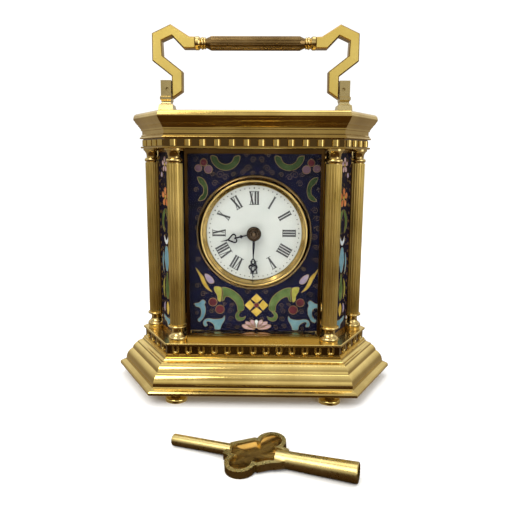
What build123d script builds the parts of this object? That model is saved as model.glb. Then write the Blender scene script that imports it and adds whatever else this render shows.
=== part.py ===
from build123d import *
import os
from math import acos, atan2, cos, degrees, hypot, pi, radians, sin, sqrt

# Six-sided carriage clock with its winding key.
# Millimetres, +Z up, -Y the dial side. Heights here are above the surface that the feet stand on;
# write() lowers every solid by the feet's height, so that the part's origin is the centre of
# the case's underside.

# ---------------------------------------------------------------- driving dimensions
# Every level of the case is an elongated hexagon: k is the distance from the middle to a
# slanting face, and the front and back faces lie FLAT_INSET nearer the middle than k.
FLAT_INSET = 17.05
FOOT_HEIGHT = 4.0
BASE_TOP = 16.0
PLINTH_TOP = 20.8
CORNICE_BOTTOM = 92.4
CORNICE_TOP = 105.4
CORNER_COLUMN = (28.6, 18.2)
SIDE_COLUMN_X = 40.0
COLUMN_RADIUS = 2.85
COLUMN_BASE_HEIGHT = 6.5
CAPITAL_HEIGHT = 5.3
SHAFT_BOTTOM = PLINTH_TOP + COLUMN_BASE_HEIGHT
SHAFT_TOP = CORNICE_BOTTOM - CAPITAL_HEIGHT

# Dial and hands, all about one axis along Y at this height
DIAL_Z = 61.1
DIAL_RADIUS = 18.8
DIAL_SIGHT_RADIUS = 17.95
BEZEL_RADIUS = 21.8
MASK_FRONT = -11.3
MASK_BACK = -10.3
HOUR_HAND_CLOCK_ANGLE = 255.8
MINUTE_HAND_CLOCK_ANGLE = 181.4

# Movement plates and the levels of the wheels between and in front of them
PLATE_HALF_WIDTH = 19.0
PLATE_TOP = 86.0
FRONT_PLATE = (-7.0, -5.5)
BACK_PLATE = (9.0, 10.5)
SHAKE = 0.1                 # end play of each arbor
PIVOT_GAP = 0.06            # radial clearance of a pivot in its hole

# Tooth counts and modules
BARREL_TEETH, CENTRE_PINION_TEETH, BARREL_MODULE = 66, 12, 0.5
CENTRE_TEETH, THIRD_PINION_TEETH, CENTRE_MODULE = 60, 10, 0.4
THIRD_TEETH, CONTRATE_PINION_TEETH, THIRD_MODULE = 60, 8, 0.35
CANNON_TEETH, MINUTE_WHEEL_TEETH, CANNON_MODULE = 12, 36, 0.35
MINUTE_PINION_TEETH, HOUR_TEETH, HOUR_MODULE = 10, 40, 0.336
CONTRATE_TEETH = 48
ESCAPE_TEETH = 15
RATCHET_TEETH = 24

BARREL_Z = DIAL_Z - BARREL_MODULE * (BARREL_TEETH + CENTRE_PINION_TEETH) / 2
THIRD_REACH = CENTRE_MODULE * (CENTRE_TEETH + THIRD_PINION_TEETH) / 2
THIRD_X = THIRD_REACH * cos(radians(45))
THIRD_Z = DIAL_Z + THIRD_REACH * sin(radians(45))
CONTRATE_REACH = THIRD_MODULE * (THIRD_TEETH + CONTRATE_PINION_TEETH) / 2
CONTRATE_X = 0.0
CONTRATE_Z = THIRD_Z + sqrt(CONTRATE_REACH ** 2 - THIRD_X ** 2)
MINUTE_WHEEL_X = CANNON_MODULE * (CANNON_TEETH + MINUTE_WHEEL_TEETH) / 2

# Platform escapement on top of the plates, its arbors upright
PLATFORM_TOP = PLATE_TOP + 1.4
ESCAPE_SPOT = (0.0, 5.9)
LEVER_SPOT = (-5.2, 3.2)
BALANCE_SPOT = (-10.4, 0.5)
BALANCE_RADIUS = 6.5

# Carrying handle
HANDLE_PIVOT_Z = 114.5
HANDLE_THICKNESS = 5.0
GRIP_Z = 131.4
GRIP_RADIUS = 2.6
POST_INNER = 31.8
POST_OUTER = 35.7

# Back door
DOOR_HALF_WIDTH = 24.2
DOOR_BOTTOM = 21.1
DOOR_TOP = 92.1
DOOR_FRONT = 17.0
DOOR_BACK = 19.2
DOOR_PIVOT = (-22.8, 18.1)

# Winding key, lying on the same surface as the feet
KEY_MIDDLE = (3.1, -66.95)
KEY_DIRECTION = degrees(atan2(-18.9, 54.6))
KEY_HALF_LENGTH = 29.1
KEY_TUBE_RADIUS = 3.0
KEY_NECK_RADIUS = 2.45      # of the large tube where it meets the bow
KEY_SMALL_RADIUS = 1.8
BOW_X = -1.4
LOBE_OFFSET = (2.8, 6.0)    # along and across the key, from the bow's centre
TUBE_START_X = 5.0

OUT = "parts"
os.makedirs(OUT, exist_ok=True)


# ---------------------------------------------------------------- helpers
def outline(start, *steps):
    """Edges from start: a point is a straight run to it, a (middle, end) pair is an arc."""
    edges, here = [], start
    for step in steps:
        if isinstance(step[0], tuple):
            middle, end = step
            edges.append(Edge.make_three_point_arc(here, middle, end))
            here = end
        else:
            edges.append(Edge.make_line(here, step))
            here = step
    return edges, here


def closed_face(start, *steps):
    """Flat face inside the outline, closed by a straight run back to the start."""
    edges, here = outline(start, *steps)
    if hypot(here[0] - start[0], here[1] - start[1]) > 1e-6:
        edges.append(Edge.make_line(here, start))
    return make_face(edges)


def polygon(points):
    return closed_face(points[0], *points[1:])


def turned(start, *steps):
    """Solid turned about Z from an outline of (radius, height) points."""
    edges, here = outline(start, *steps)
    axis_end, axis_start = (0, here[1]), (0, start[1])
    if here[0] > 1e-6:
        edges.append(Edge.make_line(here, axis_end))
    edges.append(Edge.make_line(axis_end, axis_start))
    if start[0] > 1e-6:
        edges.append(Edge.make_line(axis_start, start))
    return revolve(Rot(90, 0, 0) * make_face(edges), Axis.Z)


def turned_ring(start, *steps):
    """Ring turned about Z from a closed outline of (radius, height) points clear of the axis."""
    return revolve(Rot(90, 0, 0) * closed_face(start, *steps), Axis.Z)


def hexagon(k):
    """The case's plan at distance k: front and back edges, four slanting faces, two side corners."""
    depth = k - FLAT_INSET
    front_corner = (k - depth / 2) / cos(radians(30))
    side_corner = k / cos(radians(30))
    return polygon([(front_corner, -depth), (side_corner, 0), (front_corner, depth),
                    (-front_corner, depth), (-side_corner, 0), (-front_corner, -depth)])


def hex_prism(k, bottom, top):
    return Pos(0, 0, bottom) * extrude(hexagon(k), top - bottom)


def hex_moulding(start, *steps):
    """Solid whose edge follows an outline of (k, height) points, mitred at all six corners."""
    pairs = []
    for angle, inset in ((90, FLAT_INSET), (30, 0), (-30, 0)):
        right, end = outline((start[0] - inset, start[1]), *[shifted(step, inset) for step in steps])
        left = [edge.mirror(Plane.YZ) for edge in right]
        lid = Edge.make_line(end, (-end[0], end[1]))
        floor = Edge.make_line((start[0] - inset, start[1]), (inset - start[0], start[1]))
        face = make_face(right + left + [lid, floor])
        c, s = cos(radians(angle)), sin(radians(angle))
        across = Plane(origin=(0, 0, 0), x_dir=(c, s, 0), z_dir=(s, -c, 0))
        pairs.append(across.location * extrude(face, 80, both=True))
    return pairs[0] & pairs[1] & pairs[2]


def shifted(step, inset):
    if isinstance(step[0], tuple):
        return tuple((x - inset, z) for x, z in step)
    return (step[0] - inset, step[1])


def case_faces(k):
    """A frame on each of the six faces at distance k: X along the face, Y up, Z outwards."""
    depth = k - FLAT_INSET
    front_corner = (k - depth / 2) / cos(radians(30))
    side_corner = k / cos(radians(30))
    flat_width = 2 * front_corner
    slant_width = hypot(side_corner - front_corner, depth)
    slant_x, slant_y = (side_corner + front_corner) / 2, depth / 2
    spots = [(0, -depth, -90, flat_width), (0, depth, 90, flat_width)]
    for x_sign, y_sign, angle in ((1, -1, -30), (1, 1, 30), (-1, 1, 150), (-1, -1, 210)):
        spots.append((x_sign * slant_x, y_sign * slant_y, angle, slant_width))
    frames = []
    for x, y, angle, width in spots:
        normal = (cos(radians(angle)), sin(radians(angle)), 0)
        along = (-normal[1], normal[0], 0)
        frames.append((Plane(origin=(x, y, 0), x_dir=along, z_dir=normal).location, width))
    return frames


def spread(width, pitch):
    """Evenly spaced positions along a face, as near the pitch as a whole number allows."""
    count = int(width / pitch)
    return [(i - (count - 1) / 2) * width / count for i in range(count)]


def slab_y(face, front, back):
    """Face drawn as seen from the front (X, Z), made solid from y = front to y = back."""
    view = Plane(origin=(0, back, 0), x_dir=(1, 0, 0), z_dir=(0, -1, 0))
    return view.location * extrude(face, back - front)


def rod_y(x, z, radius, front, back):
    return Pos(x, (front + back) / 2, z) * Rot(90, 0, 0) * Cylinder(radius, back - front)


def rod_z(x, y, radius, bottom, top):
    return Pos(x, y, (bottom + top) / 2) * Cylinder(radius, top - bottom)


def rod_x(y, z, radius, left, right):
    return Pos((left + right) / 2, y, z) * Rot(0, 90, 0) * Cylinder(radius, right - left)


def box_between(low, high):
    middle = [(a + b) / 2 for a, b in zip(low, high)]
    return Pos(*middle) * Box(*[b - a for a, b in zip(low, high)])


def gear_face(teeth, module, x, z, tooth_angle):
    """Gear blank seen from the front, with one tooth pointing along tooth_angle (degrees)."""
    pitch_radius = teeth * module / 2
    tip, root = pitch_radius + 0.7 * module, pitch_radius - 1.15 * module
    step = 2 * pi / teeth
    points = []
    for i in range(teeth):
        middle = radians(tooth_angle) + i * step
        for radius, share in ((root, -0.24), (tip, -0.09), (tip, 0.09), (root, 0.24)):
            angle = middle + share * step
            points.append((x + radius * cos(angle), z + radius * sin(angle)))
    return polygon(points)


def spoke_windows(x, z, inner, outer, count, arm, turn=0.0):
    """Windows between the arms of a wheel, to be cut from its face."""
    ring = Pos(x, z) * (Circle(outer) - Circle(inner))
    for i in range(count):
        ring -= Pos(x, z) * Rot(0, 0, turn + i * 360 / count) * Pos(outer, 0) * Rectangle(2 * outer, arm)
    return ring


def mirrored_pair(solid):
    return [solid, solid.mirror(Plane.YZ)]


def write(name, *shapes):
    """Write one sub-part as its separate solids, with the origin at the case's underside."""
    solids = [Pos(0, 0, -FOOT_HEIGHT) * s for shape in shapes for s in shape.solids()]
    assert solids and all(s.is_valid for s in solids), name
    export_step(solids[0] if len(solids) == 1 else Compound(solids), f"{OUT}/{name}.step")


# ---------------------------------------------------------------- case
def base_moulding():
    body = hex_moulding(
        (48.1, FOOT_HEIGHT), (48.35, 4.2), (48.35, 5.0), (48.0, 5.5), (46.3, 6.1), (46.1, 6.5),
        ((45.55, 8.95), (43.95, 10.85)), (43.75, 11.0),
        ((43.15, 12.45), (42.0, 13.6)), (41.8, 14.1), (41.3, 14.3),
        ((40.3, 14.7), (39.9, 15.5)), (39.6, 15.6), (39.6, BASE_TOP))
    return body - hex_prism(35.0, FOOT_HEIGHT, BASE_TOP)


def u_dentil():
    """U-shaped bead of round section, 2.6 wide and 3 high, standing half out of the band."""
    stroke, half_gap, bend = 0.45, 0.85, -0.2
    dentil = Pos(0, bend) * (Torus(half_gap, stroke) - Pos(0, 2) * Box(4, 4, 4))
    for x in (-half_gap, half_gap):
        dentil += Pos(x, bend + 0.85) * Rot(90, 0, 0) * Cylinder(stroke, 1.7)
    return dentil


def plinth_dentil_band():
    """Plinth with its frieze, bored for the lower pivot of the back door."""
    ground = 38.75
    body = hex_moulding((39.45, BASE_TOP), (39.45, 16.35), (ground, 16.6), (ground, 19.75),
                        (39.45, 19.95), (39.45, 20.6), (39.25, PLINTH_TOP))
    dentil = u_dentil()
    middle_height = (16.6 + 19.75) / 2
    for frame, width in case_faces(ground):
        for s in spread(width - 1.5, 4.75):
            body += frame * Pos(s, middle_height, 0.1) * dentil
    body -= hex_prism(24.0, BASE_TOP, 18.8)
    return body - rod_z(*DOOR_PIVOT, 0.8 + PIVOT_GAP, 19.7, PLINTH_TOP)


def bottom_plate():
    top = FOOT_HEIGHT + 1.5
    plate = hex_prism(34.9, FOOT_HEIGHT, top)
    for x in (-12, 12):
        for y in (-6.25, 9.75):
            plate -= rod_z(x, y, 1.5, FOOT_HEIGHT, top)
    return plate


def feet():
    foot = turned((4.1, 0), (4.1, 0.5), ((3.9, 1.3), (2.9, 1.7)), (2.6, 2.2), (2.6, 3.0),
                  (3.2, 3.4), (3.2, FOOT_HEIGHT))
    return [Pos(x, y, 0) * foot for x in (-28.5, 28.5) for y in (-25, 25)]


def column_spots():
    """Centres of the six columns: front pair, side pair, rear pair, each left then right."""
    x, y = CORNER_COLUMN
    return [(-x, -y), (x, -y), (-SIDE_COLUMN_X, 0), (SIDE_COLUMN_X, 0), (-x, y), (x, y)]


def column_shaft(x, y):
    """Straight shaft with rounded flutes all round."""
    section = Circle(COLUMN_RADIUS)
    flutes = 18
    for i in range(flutes):
        angle = (i + 0.5) * 2 * pi / flutes
        reach = COLUMN_RADIUS + 0.12
        section -= Pos(reach * cos(angle), reach * sin(angle)) * Circle(0.33)
    return Pos(x, y, SHAFT_BOTTOM) * extrude(section, SHAFT_TOP - SHAFT_BOTTOM)


def column_base():
    return turned((3.3, 0), (3.3, 0.5), ((3.6, 1.3), (3.2, 2.1)), ((2.4, 2.9), (2.15, 4.2)),
                  (2.2, 4.9), (2.6, 5.3), (3.2, 5.4), ((3.5, 5.8), (3.2, 6.2)),
                  (2.9, 6.3), (2.9, COLUMN_BASE_HEIGHT))


def column_capital():
    return turned((2.5, 0), (2.5, 0.25), (2.8, 0.35), ((3.05, 1.0), (2.8, 1.65)), (2.3, 1.9),
                  ((2.45, 3.3), (3.2, 4.5)), (3.45, 4.6), (3.45, CAPITAL_HEIGHT))


WINDOW_HALF = (21.0, 10.0)


def cornice():
    body = hex_moulding(
        (38.3, CORNICE_BOTTOM), (38.6, 92.6), (38.6, 93.1), (37.7, 93.2), (37.7, 95.9),
        (38.6, 96.0), ((38.85, 96.35), (38.6, 96.7)), (38.3, 96.8), (38.3, 97.3),
        (37.95, 97.6), (37.95, 98.9), (38.35, 99.1), (38.35, 99.6),
        ((38.75, 100.15), (39.0, 100.6)), (39.2, 100.65), (39.25, 101.0),
        ((39.9, 101.75), (40.45, 102.7)), ((40.8, 103.4), (40.7, 104.1)),
        ((40.4, 104.9), (39.7, CORNICE_TOP)))
    body -= hex_prism(27.0, CORNICE_BOTTOM, 94.0)
    body -= hex_prism(33.5, 94.0, 103.2)
    window = RectangleRounded(2 * WINDOW_HALF[0], 2 * WINDOW_HALF[1], 4)
    rebate = RectangleRounded(2 * WINDOW_HALF[0] + 2.4, 2 * WINDOW_HALF[1] + 2.4, 5.2)
    body -= Pos(0, 0, 103.2) * extrude(window, 2.2)
    body -= Pos(0, 0, 104.2) * extrude(rebate, 1.2)
    return body - rod_z(*DOOR_PIVOT, 0.8 + PIVOT_GAP, CORNICE_BOTTOM, 93.6)


def cornice_dentil_band():
    """Half-round drops standing on the band under the cornice."""
    ground = 37.7
    drop = rod_z(0, 0, 1.3, 0, 2.2)
    drop -= box_between((-2, -2, 0), (2, 0, 3))
    drops = []
    upright = Plane(origin=(0, 0, 0), x_dir=(1, 0, 0), z_dir=(0, -1, 0)).location.inverse()
    for frame, width in case_faces(ground):
        for s in spread(width - 1.0, 5.1):
            drops.append(frame * Pos(s, 93.3, 0.05) * upright * Rot(0, 0, 180) * drop)
    return drops


def top_glass():
    plate = extrude(RectangleRounded(2 * WINDOW_HALF[0] + 2.2, 2 * WINDOW_HALF[1] + 2.2, 5.1), 1.1)
    return Pos(0, 0, 104.2) * chamfer(plate.edges().group_by(Axis.Z)[-1], 0.5, 1.0)


def rectangle_xz(left, right, bottom, top):
    return polygon([(left, bottom), (right, bottom), (right, top), (left, top)])


FRAME_HALF_WIDTH = 25.0
FRAME_SIGHT_HALF = 24.0
FRAME_SILL = 22.9
FRAME_HEAD = 90.6


def front_frame():
    outer = rectangle_xz(-FRAME_HALF_WIDTH, FRAME_HALF_WIDTH, PLINTH_TOP, CORNICE_BOTTOM)
    sight = rectangle_xz(-FRAME_SIGHT_HALF, FRAME_SIGHT_HALF, FRAME_SILL, FRAME_HEAD)
    frame = slab_y(outer, -18.6, -15.8) - slab_y(sight, -18.6, -15.8)
    groove = rectangle_xz(-24.6, 24.6, 22.3, 91.2)
    frame -= slab_y(groove, -17.8, -16.4)
    sill = box_between((-23.8, -15.8, PLINTH_TOP), (23.8, -11.6, 22.6))
    return frame + sill


def bevelled_plate(half_width, bottom, top, front, back, bevel, depth):
    """Glass plate with a wide bevel round its front face."""
    centre_z, half_height = (bottom + top) / 2, (top - bottom) / 2
    plate = extrude(Rectangle(2 * half_width, 2 * half_height), back - front)
    plate = chamfer(plate.edges().group_by(Axis.Z)[-1], depth, bevel)
    view = Plane(origin=(0, back, centre_z), x_dir=(1, 0, 0), z_dir=(0, -1, 0))
    return view.location * plate


def front_glass():
    return bevelled_plate(24.55, 22.35, 91.15, -17.78, -16.42, 2.2, 0.7)


def dial_mask():
    plate = rectangle_xz(-25.2, 25.2, 22.6, 92.2)
    plate -= Pos(0, DIAL_Z) * Circle(DIAL_RADIUS + 0.1)
    return slab_y(plate, MASK_FRONT, MASK_BACK)


def about_dial(solid):
    """Stand a solid turned about Z on the dial's axis, its +Z towards the viewer."""
    return Pos(0, 0, DIAL_Z) * Rot(90, 0, 0) * solid


def dial_bezel():
    face = -MASK_FRONT
    return about_dial(turned_ring(
        (DIAL_SIGHT_RADIUS, face), (DIAL_SIGHT_RADIUS, face + 0.5), (18.2, face + 0.8),
        (19.2, face + 1.7), (19.3, face + 2.2), ((19.75, face + 2.9), (20.2, face + 2.4)),
        ((20.6, face + 1.2), (21.6, face + 0.8)), (BEZEL_RADIUS, face + 0.5), (BEZEL_RADIUS, face)))


def dial():
    disc = turned((DIAL_RADIUS, 10.5), (DIAL_RADIUS, -MASK_FRONT), (17.8, -MASK_FRONT),
                  (0, -MASK_FRONT + 0.25))
    hole = Pos(0, 0, 10) * Cylinder(2.2, 4)
    return about_dial(disc - hole)


# Side panels stand between the columns, wider beside the shafts than beside the bases and capitals
PANEL_K = (32.6, 33.6)
PANEL_HALF_WIDTH = 7.05
PANEL_NECK_HALF = 6.6
PANEL_RIM_HALF = 7.7
PANEL_RIM_NECK_HALF = 7.1
PANEL_QUARTERS = [(1, -1, -30), (1, 1, 30), (-1, 1, 150), (-1, -1, 210)]


def panel_frame_of(quarter):
    """Frame on a panel's inner face, midway between the two columns: X along, Y up, Z outwards."""
    x_sign, y_sign, angle = quarter
    middle = ((CORNER_COLUMN[0] + SIDE_COLUMN_X) / 2 * x_sign, CORNER_COLUMN[1] / 2 * y_sign)
    normal = (cos(radians(angle)), sin(radians(angle)), 0)
    reach = middle[0] * normal[0] + middle[1] * normal[1] - PANEL_K[0]
    origin = (middle[0] - reach * normal[0], middle[1] - reach * normal[1], 0)
    return Plane(origin=origin, x_dir=(-normal[1], normal[0], 0), z_dir=normal).location


def panel_outline():
    face = rectangle_xz(-PANEL_NECK_HALF, PANEL_NECK_HALF, 22.2, 91.0)
    return face + rectangle_xz(-PANEL_HALF_WIDTH, PANEL_HALF_WIDTH, SHAFT_BOTTOM + 0.7, SHAFT_TOP - 0.7)


def side_panel(quarter):
    return panel_frame_of(quarter) * extrude(panel_outline(), PANEL_K[1] - PANEL_K[0])


def side_panel_frame(quarter):
    half, neck = PANEL_RIM_HALF, PANEL_RIM_NECK_HALF
    face = rectangle_xz(-neck, neck, PLINTH_TOP, CORNICE_BOTTOM)
    face += rectangle_xz(-half, half, SHAFT_BOTTOM + 0.2, SHAFT_TOP - 0.2)
    face -= panel_outline()
    return panel_frame_of(quarter) * extrude(face, PANEL_K[1] - PANEL_K[0])


# ---------------------------------------------------------------- back door
def rear_door_frame():
    half, x_pin = DOOR_HALF_WIDTH, DOOR_PIVOT[0]
    door = slab_y(rectangle_xz(-half, half, DOOR_BOTTOM, DOOR_TOP), DOOR_FRONT, DOOR_BACK)
    door -= slab_y(rectangle_xz(-20.6, 20.6, 24.6, 88.6), DOOR_FRONT, DOOR_BACK)
    door -= slab_y(rectangle_xz(-21.3, 21.3, 23.9, 89.3), 17.6, 18.6)
    door += rod_z(x_pin, DOOR_PIVOT[1], 0.8, DOOR_TOP - 1, 93.4)
    door += rod_z(x_pin, DOOR_PIVOT[1], 0.8, 19.9, DOOR_BOTTOM + 1)
    return door - rod_y(22.3, 56, 0.9, DOOR_FRONT, DOOR_BACK)


def rear_door_glass():
    return box_between((-21.25, 17.65, 23.95), (21.25, 18.55, 89.25))


def rear_door_knob():
    """Turned knob on a stem through the door frame, its head outside."""
    stem = turned((0.9, -2.2), (0.9, 0), (1.6, 0), (1.6, 0.4), (0.9, 0.7), (0.9, 1.3),
                  ((2.0, 2.3), (0.9, 3.2)), (0.5, 3.35))
    return Pos(22.3, DOOR_BACK, 56) * Rot(-90, 0, 0) * stem


# ---------------------------------------------------------------- carrying handle
def handle_arm():
    """Right arm: a flat zigzag bar with its corners in the plane of the handle."""
    face = polygon([(22.4, 133.4), (24.7, 133.5), (31.6, 137.8), (38.6, 134.6), (38.7, 124.8),
                    (31.5, 119.3), (31.5, 111.1), (27.5, 113.8), (27.4, 121.0), (34.8, 126.7),
                    (35.0, 132.0), (31.2, 133.7), (26.9, 129.3), (22.4, 129.3)])
    bar = slab_y(face, -HANDLE_THICKNESS / 2, HANDLE_THICKNESS / 2)
    rims = bar.edges().filter_by(Plane.XZ)
    bar = chamfer(rims, 0.4)
    bar -= rod_x(0, HANDLE_PIVOT_Z, 1.25, 28.6, 31.5)
    return bar - rod_x(0, GRIP_Z, 1.0, 22.4, 26.0)


def turned_along_x(z, solid):
    return Pos(0, 0, z) * Rot(0, 90, 0) * solid


def handle_grip():
    """Reeded grip with tapered ends, bored for the tie rod."""
    grip = turned((1.7, -18.6), (GRIP_RADIUS, -16.6), (GRIP_RADIUS, 16.6), (1.7, 18.6))
    grip -= Cylinder(1.0, 40)
    reeds = 14
    for i in range(reeds):
        angle = i * 2 * pi / reeds
        reach = GRIP_RADIUS + 0.1
        grip -= Pos(reach * cos(angle), reach * sin(angle)) * Cylinder(0.32, 40)
    return turned_along_x(GRIP_Z, grip)


def handle_collars():
    """Three beads between the grip and each arm."""
    collar = turned((1.8, 18.6), ((2.15, 19.0), (1.8, 19.4)), ((2.3, 19.95), (1.8, 20.5)),
                    (2.2, 20.9), (2.5, 21.4), (2.5, 22.4))
    collar = turned_along_x(GRIP_Z, collar - Pos(0, 0, 20) * Cylinder(1.0, 8))
    return mirrored_pair(collar)


def handle_tie_rod():
    return rod_x(0, GRIP_Z, 1.0, -26.0, 26.0)


def handle_post():
    """Right post: a drilled block on a flared foot."""
    front = closed_face((30.6, CORNICE_TOP), (36.6, CORNICE_TOP), (36.4, 108.8),
                        ((35.5, 109.7), (36.0, 110.7)), (36.0, 111.7), (POST_OUTER, 112.0),
                        (POST_OUTER, 117.8), (POST_INNER, 117.8), (POST_INNER, 110.4),
                        ((32.0, 109.6), (31.2, 108.8)))
    side = closed_face((-5.4, CORNICE_TOP), (5.4, CORNICE_TOP), (3.6, 108.8),
                       ((2.8, 109.7), (3.1, 110.7)), (3.1, 111.7), (2.6, 112.0), (2.6, 117.8),
                       (-2.6, 117.8), (-2.6, 112.0), (-3.1, 111.7), (-3.1, 110.7),
                       ((-2.8, 109.7), (-3.6, 108.8)))
    across = Plane(origin=(30, 0, 0), x_dir=(0, 1, 0), z_dir=(1, 0, 0))
    post = slab_y(front, -6, 6) & (across.location * extrude(side, 8))
    post -= rod_x(0, HANDLE_PIVOT_Z, 1.2, 30, 38)
    return post - rod_y(33.2, HANDLE_PIVOT_Z, 0.7, -2.6, -1.6)


def handle_pivot_screw():
    """Right pivot screw: slotted, its end flush with the outside of the post."""
    screw = rod_x(0, HANDLE_PIVOT_Z, 1.2, 28.9, POST_OUTER)
    slot = box_between((POST_OUTER - 0.5, -3, HANDLE_PIVOT_Z - 0.25),
                       (POST_OUTER + 1, 3, HANDLE_PIVOT_Z + 0.25))
    return screw - slot


# ---------------------------------------------------------------- hands
def toward(clock_angle, face):
    """Turn a face drawn along +Y from the origin to a clock angle about the dial's centre."""
    return Pos(0, DIAL_Z) * Rot(0, 0, -clock_angle) * face


def heart(height, spread, radius, tip):
    """Two round lobes side by side, drawn out to a point above them."""
    side = atan2(tip - height, -spread) - acos(radius / hypot(spread, tip - height))
    x, y = spread + radius * cos(side), height + radius * sin(side)
    face = polygon([(-x, y), (-spread, height), (spread, height), (x, y), (0, tip)])
    return face + Pos(-spread, height) * Circle(radius) + Pos(spread, height) * Circle(radius)


def hour_hand():
    """Hand with an open heart, on a pipe that fits over the hour wheel's."""
    face = Circle(2.4) + Pos(0, 4.6) * Rectangle(0.55, 5.4)
    face += polygon([(0, 4.1), (0.75, 5.0), (0, 5.9), (-0.75, 5.0)])
    face += heart(7.7, 0.85, 1.0, 10.6) + polygon([(-0.35, 9.7), (0.35, 9.7), (0, 13.1)])
    face -= heart(7.7, 0.75, 0.55, 9.6)
    face -= Circle(1.9)
    plate = slab_y(toward(HOUR_HAND_CLOCK_ANGLE, face), -12.9, -12.5)
    pipe = slab_y(Pos(0, DIAL_Z) * (Circle(2.4) - Circle(1.9)), -12.5, -12.0)
    return plate + pipe


def minute_hand():
    """Long hand: a swelling arm, a small open oval, an open heart and a fine tip."""
    face = Circle(1.7) + polygon([(-0.35, 1.0), (0.35, 1.0), (0.5, 4.2), (0.18, 9.6), (-0.18, 9.6),
                                  (-0.5, 4.2)])
    face += Pos(0, 10.6) * Ellipse(0.8, 1.25) + Pos(0, 12.0) * Rectangle(0.36, 0.9)
    face += heart(12.7, 0.8, 0.95, 15.0) + polygon([(-0.3, 14.2), (0.3, 14.2), (0, 18.7)])
    face -= Pos(0, 10.6) * Ellipse(0.38, 0.75)
    face -= heart(12.75, 0.7, 0.5, 14.1)
    face -= Circle(1.35)
    return slab_y(toward(MINUTE_HAND_CLOCK_ANGLE, face), -13.7, -13.3)


def hand_washer():
    """Stepped collet that holds the minute hand on the centre arbor."""
    dome = turned((2.75, 13.7), (2.75, 14.0), ((2.45, 14.45), (1.75, 14.7)), (1.25, 14.8),
                  (1.2, 15.3), ((1.05, 15.6), (0.6, 15.7)), (0, 15.7))
    return about_dial(dome - Pos(0, 0, 14.2) * Cylinder(0.95, 1.0))


# ---------------------------------------------------------------- movement
def tooth_toward(x0, z0, x1, z1):
    return degrees(atan2(z1 - z0, x1 - x0))


def plate_outline():
    half = PLATE_HALF_WIDTH
    return rectangle_xz(-half, half, PLINTH_TOP, PLATE_TOP)


PILLAR_SPOTS = [(-16.6, 23.6), (16.6, 23.6), (-16.6, 82.0), (16.6, 82.0)]
CLICK_TIP_ANGLE = radians(140)
CLICK_TIP = (7.3 * cos(CLICK_TIP_ANGLE), BARREL_Z + 7.3 * sin(CLICK_TIP_ANGLE))
CLICK_SPOT = (CLICK_TIP[0] - 7.0 * sin(CLICK_TIP_ANGLE), CLICK_TIP[1] + 7.0 * cos(CLICK_TIP_ANGLE))


def movement_front_plate():
    plate = slab_y(plate_outline(), *FRONT_PLATE)
    for x, z, radius in ((0, BARREL_Z, 1.6), (0, DIAL_Z, 1.0), (THIRD_X, THIRD_Z, 0.5),
                         (CONTRATE_X, CONTRATE_Z, 0.5)):
        plate -= rod_y(x, z, radius + PIVOT_GAP, *FRONT_PLATE)
    for x, z in PILLAR_SPOTS:
        plate -= rod_y(x, z, 1.0, *FRONT_PLATE)
    return plate + rod_y(MINUTE_WHEEL_X, DIAL_Z, 0.7, -10.0, FRONT_PLATE[0])


def movement_back_plate():
    plate = slab_y(plate_outline(), *BACK_PLATE)
    for x, z, radius in ((0, BARREL_Z, 1.6), (0, DIAL_Z, 0.5), (THIRD_X, THIRD_Z, 0.5),
                         (CONTRATE_X, CONTRATE_Z, 0.5)):
        plate -= rod_y(x, z, radius + PIVOT_GAP, *BACK_PLATE)
    for x, z in PILLAR_SPOTS:
        plate -= rod_y(x, z, 1.0, *BACK_PLATE)
    x, z = CLICK_SPOT
    return plate + rod_y(x, z, 0.8, BACK_PLATE[1], 12.4)


def movement_pillars():
    pillars = []
    for x, z in PILLAR_SPOTS:
        pillar = rod_y(x, z, 1.8, FRONT_PLATE[1], BACK_PLATE[0])
        pillar += rod_y(x, z, 1.0, FRONT_PLATE[0] - 0.6, BACK_PLATE[1] + 0.6)
        pillars.append(pillar)
    return pillars


def mainspring_barrel():
    """Toothed drum with its cover on, turning freely on the winding arbor."""
    toward_pinion = tooth_toward(0, BARREL_Z, 0, DIAL_Z)
    teeth = slab_y(gear_face(BARREL_TEETH, BARREL_MODULE, 0, BARREL_Z, toward_pinion), -4.5, -2.7)
    drum = rod_y(0, BARREL_Z, 15.2, -2.7, 4.6) - rod_y(0, BARREL_Z, 14.3, -2.9, 3.8)
    return teeth + drum - rod_y(0, BARREL_Z, 2.1, -4.5, 4.6)


def mainspring():
    """Coiled strip, hooked to the drum's wall and free of the winding arbor."""
    centre = (0, BARREL_Z)
    coils, inner, outer, thickness = 6, 6.0, 14.0, 0.45
    steps = coils * 24
    outside, inside = [], []
    for i in range(steps + 1):
        angle = i * 2 * pi / 24
        radius = inner + (outer - inner) * i / steps
        outside.append((centre[0] + radius * cos(angle), centre[1] + radius * sin(angle)))
        radius -= thickness
        inside.append((centre[0] + radius * cos(angle), centre[1] + radius * sin(angle)))
    return slab_y(polygon(outside + inside[::-1]), -2.4, 3.5)


def barrel_arbor():
    """Winding arbor: hub inside the drum, square end at the back for the key."""
    arbor = rod_y(0, BARREL_Z, 1.6, FRONT_PLATE[0], 12.4)
    arbor += rod_y(0, BARREL_Z, 2.0, FRONT_PLATE[1] + SHAKE, BACK_PLATE[0] - SHAKE)
    arbor += rod_y(0, BARREL_Z, 3.4, -2.4, 3.5)
    square = rectangle_xz(-1.1, 1.1, BARREL_Z - 1.1, BARREL_Z + 1.1)
    return arbor + slab_y(square, 12.4, 16.4)


def ratchet_wheel():
    """Saw-toothed wheel on the winding arbor, outside the back plate."""
    tip, root = 7.0, 6.2
    points = []
    for i in range(RATCHET_TEETH):
        start = 2 * pi * i / RATCHET_TEETH
        end = 2 * pi * (i + 0.92) / RATCHET_TEETH
        points.append((tip * cos(start), BARREL_Z + tip * sin(start)))
        points.append((root * cos(end), BARREL_Z + root * sin(end)))
    return slab_y(polygon(points), 10.7, 12.0) - rod_y(0, BARREL_Z, 1.6, 10.7, 12.0)


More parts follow.
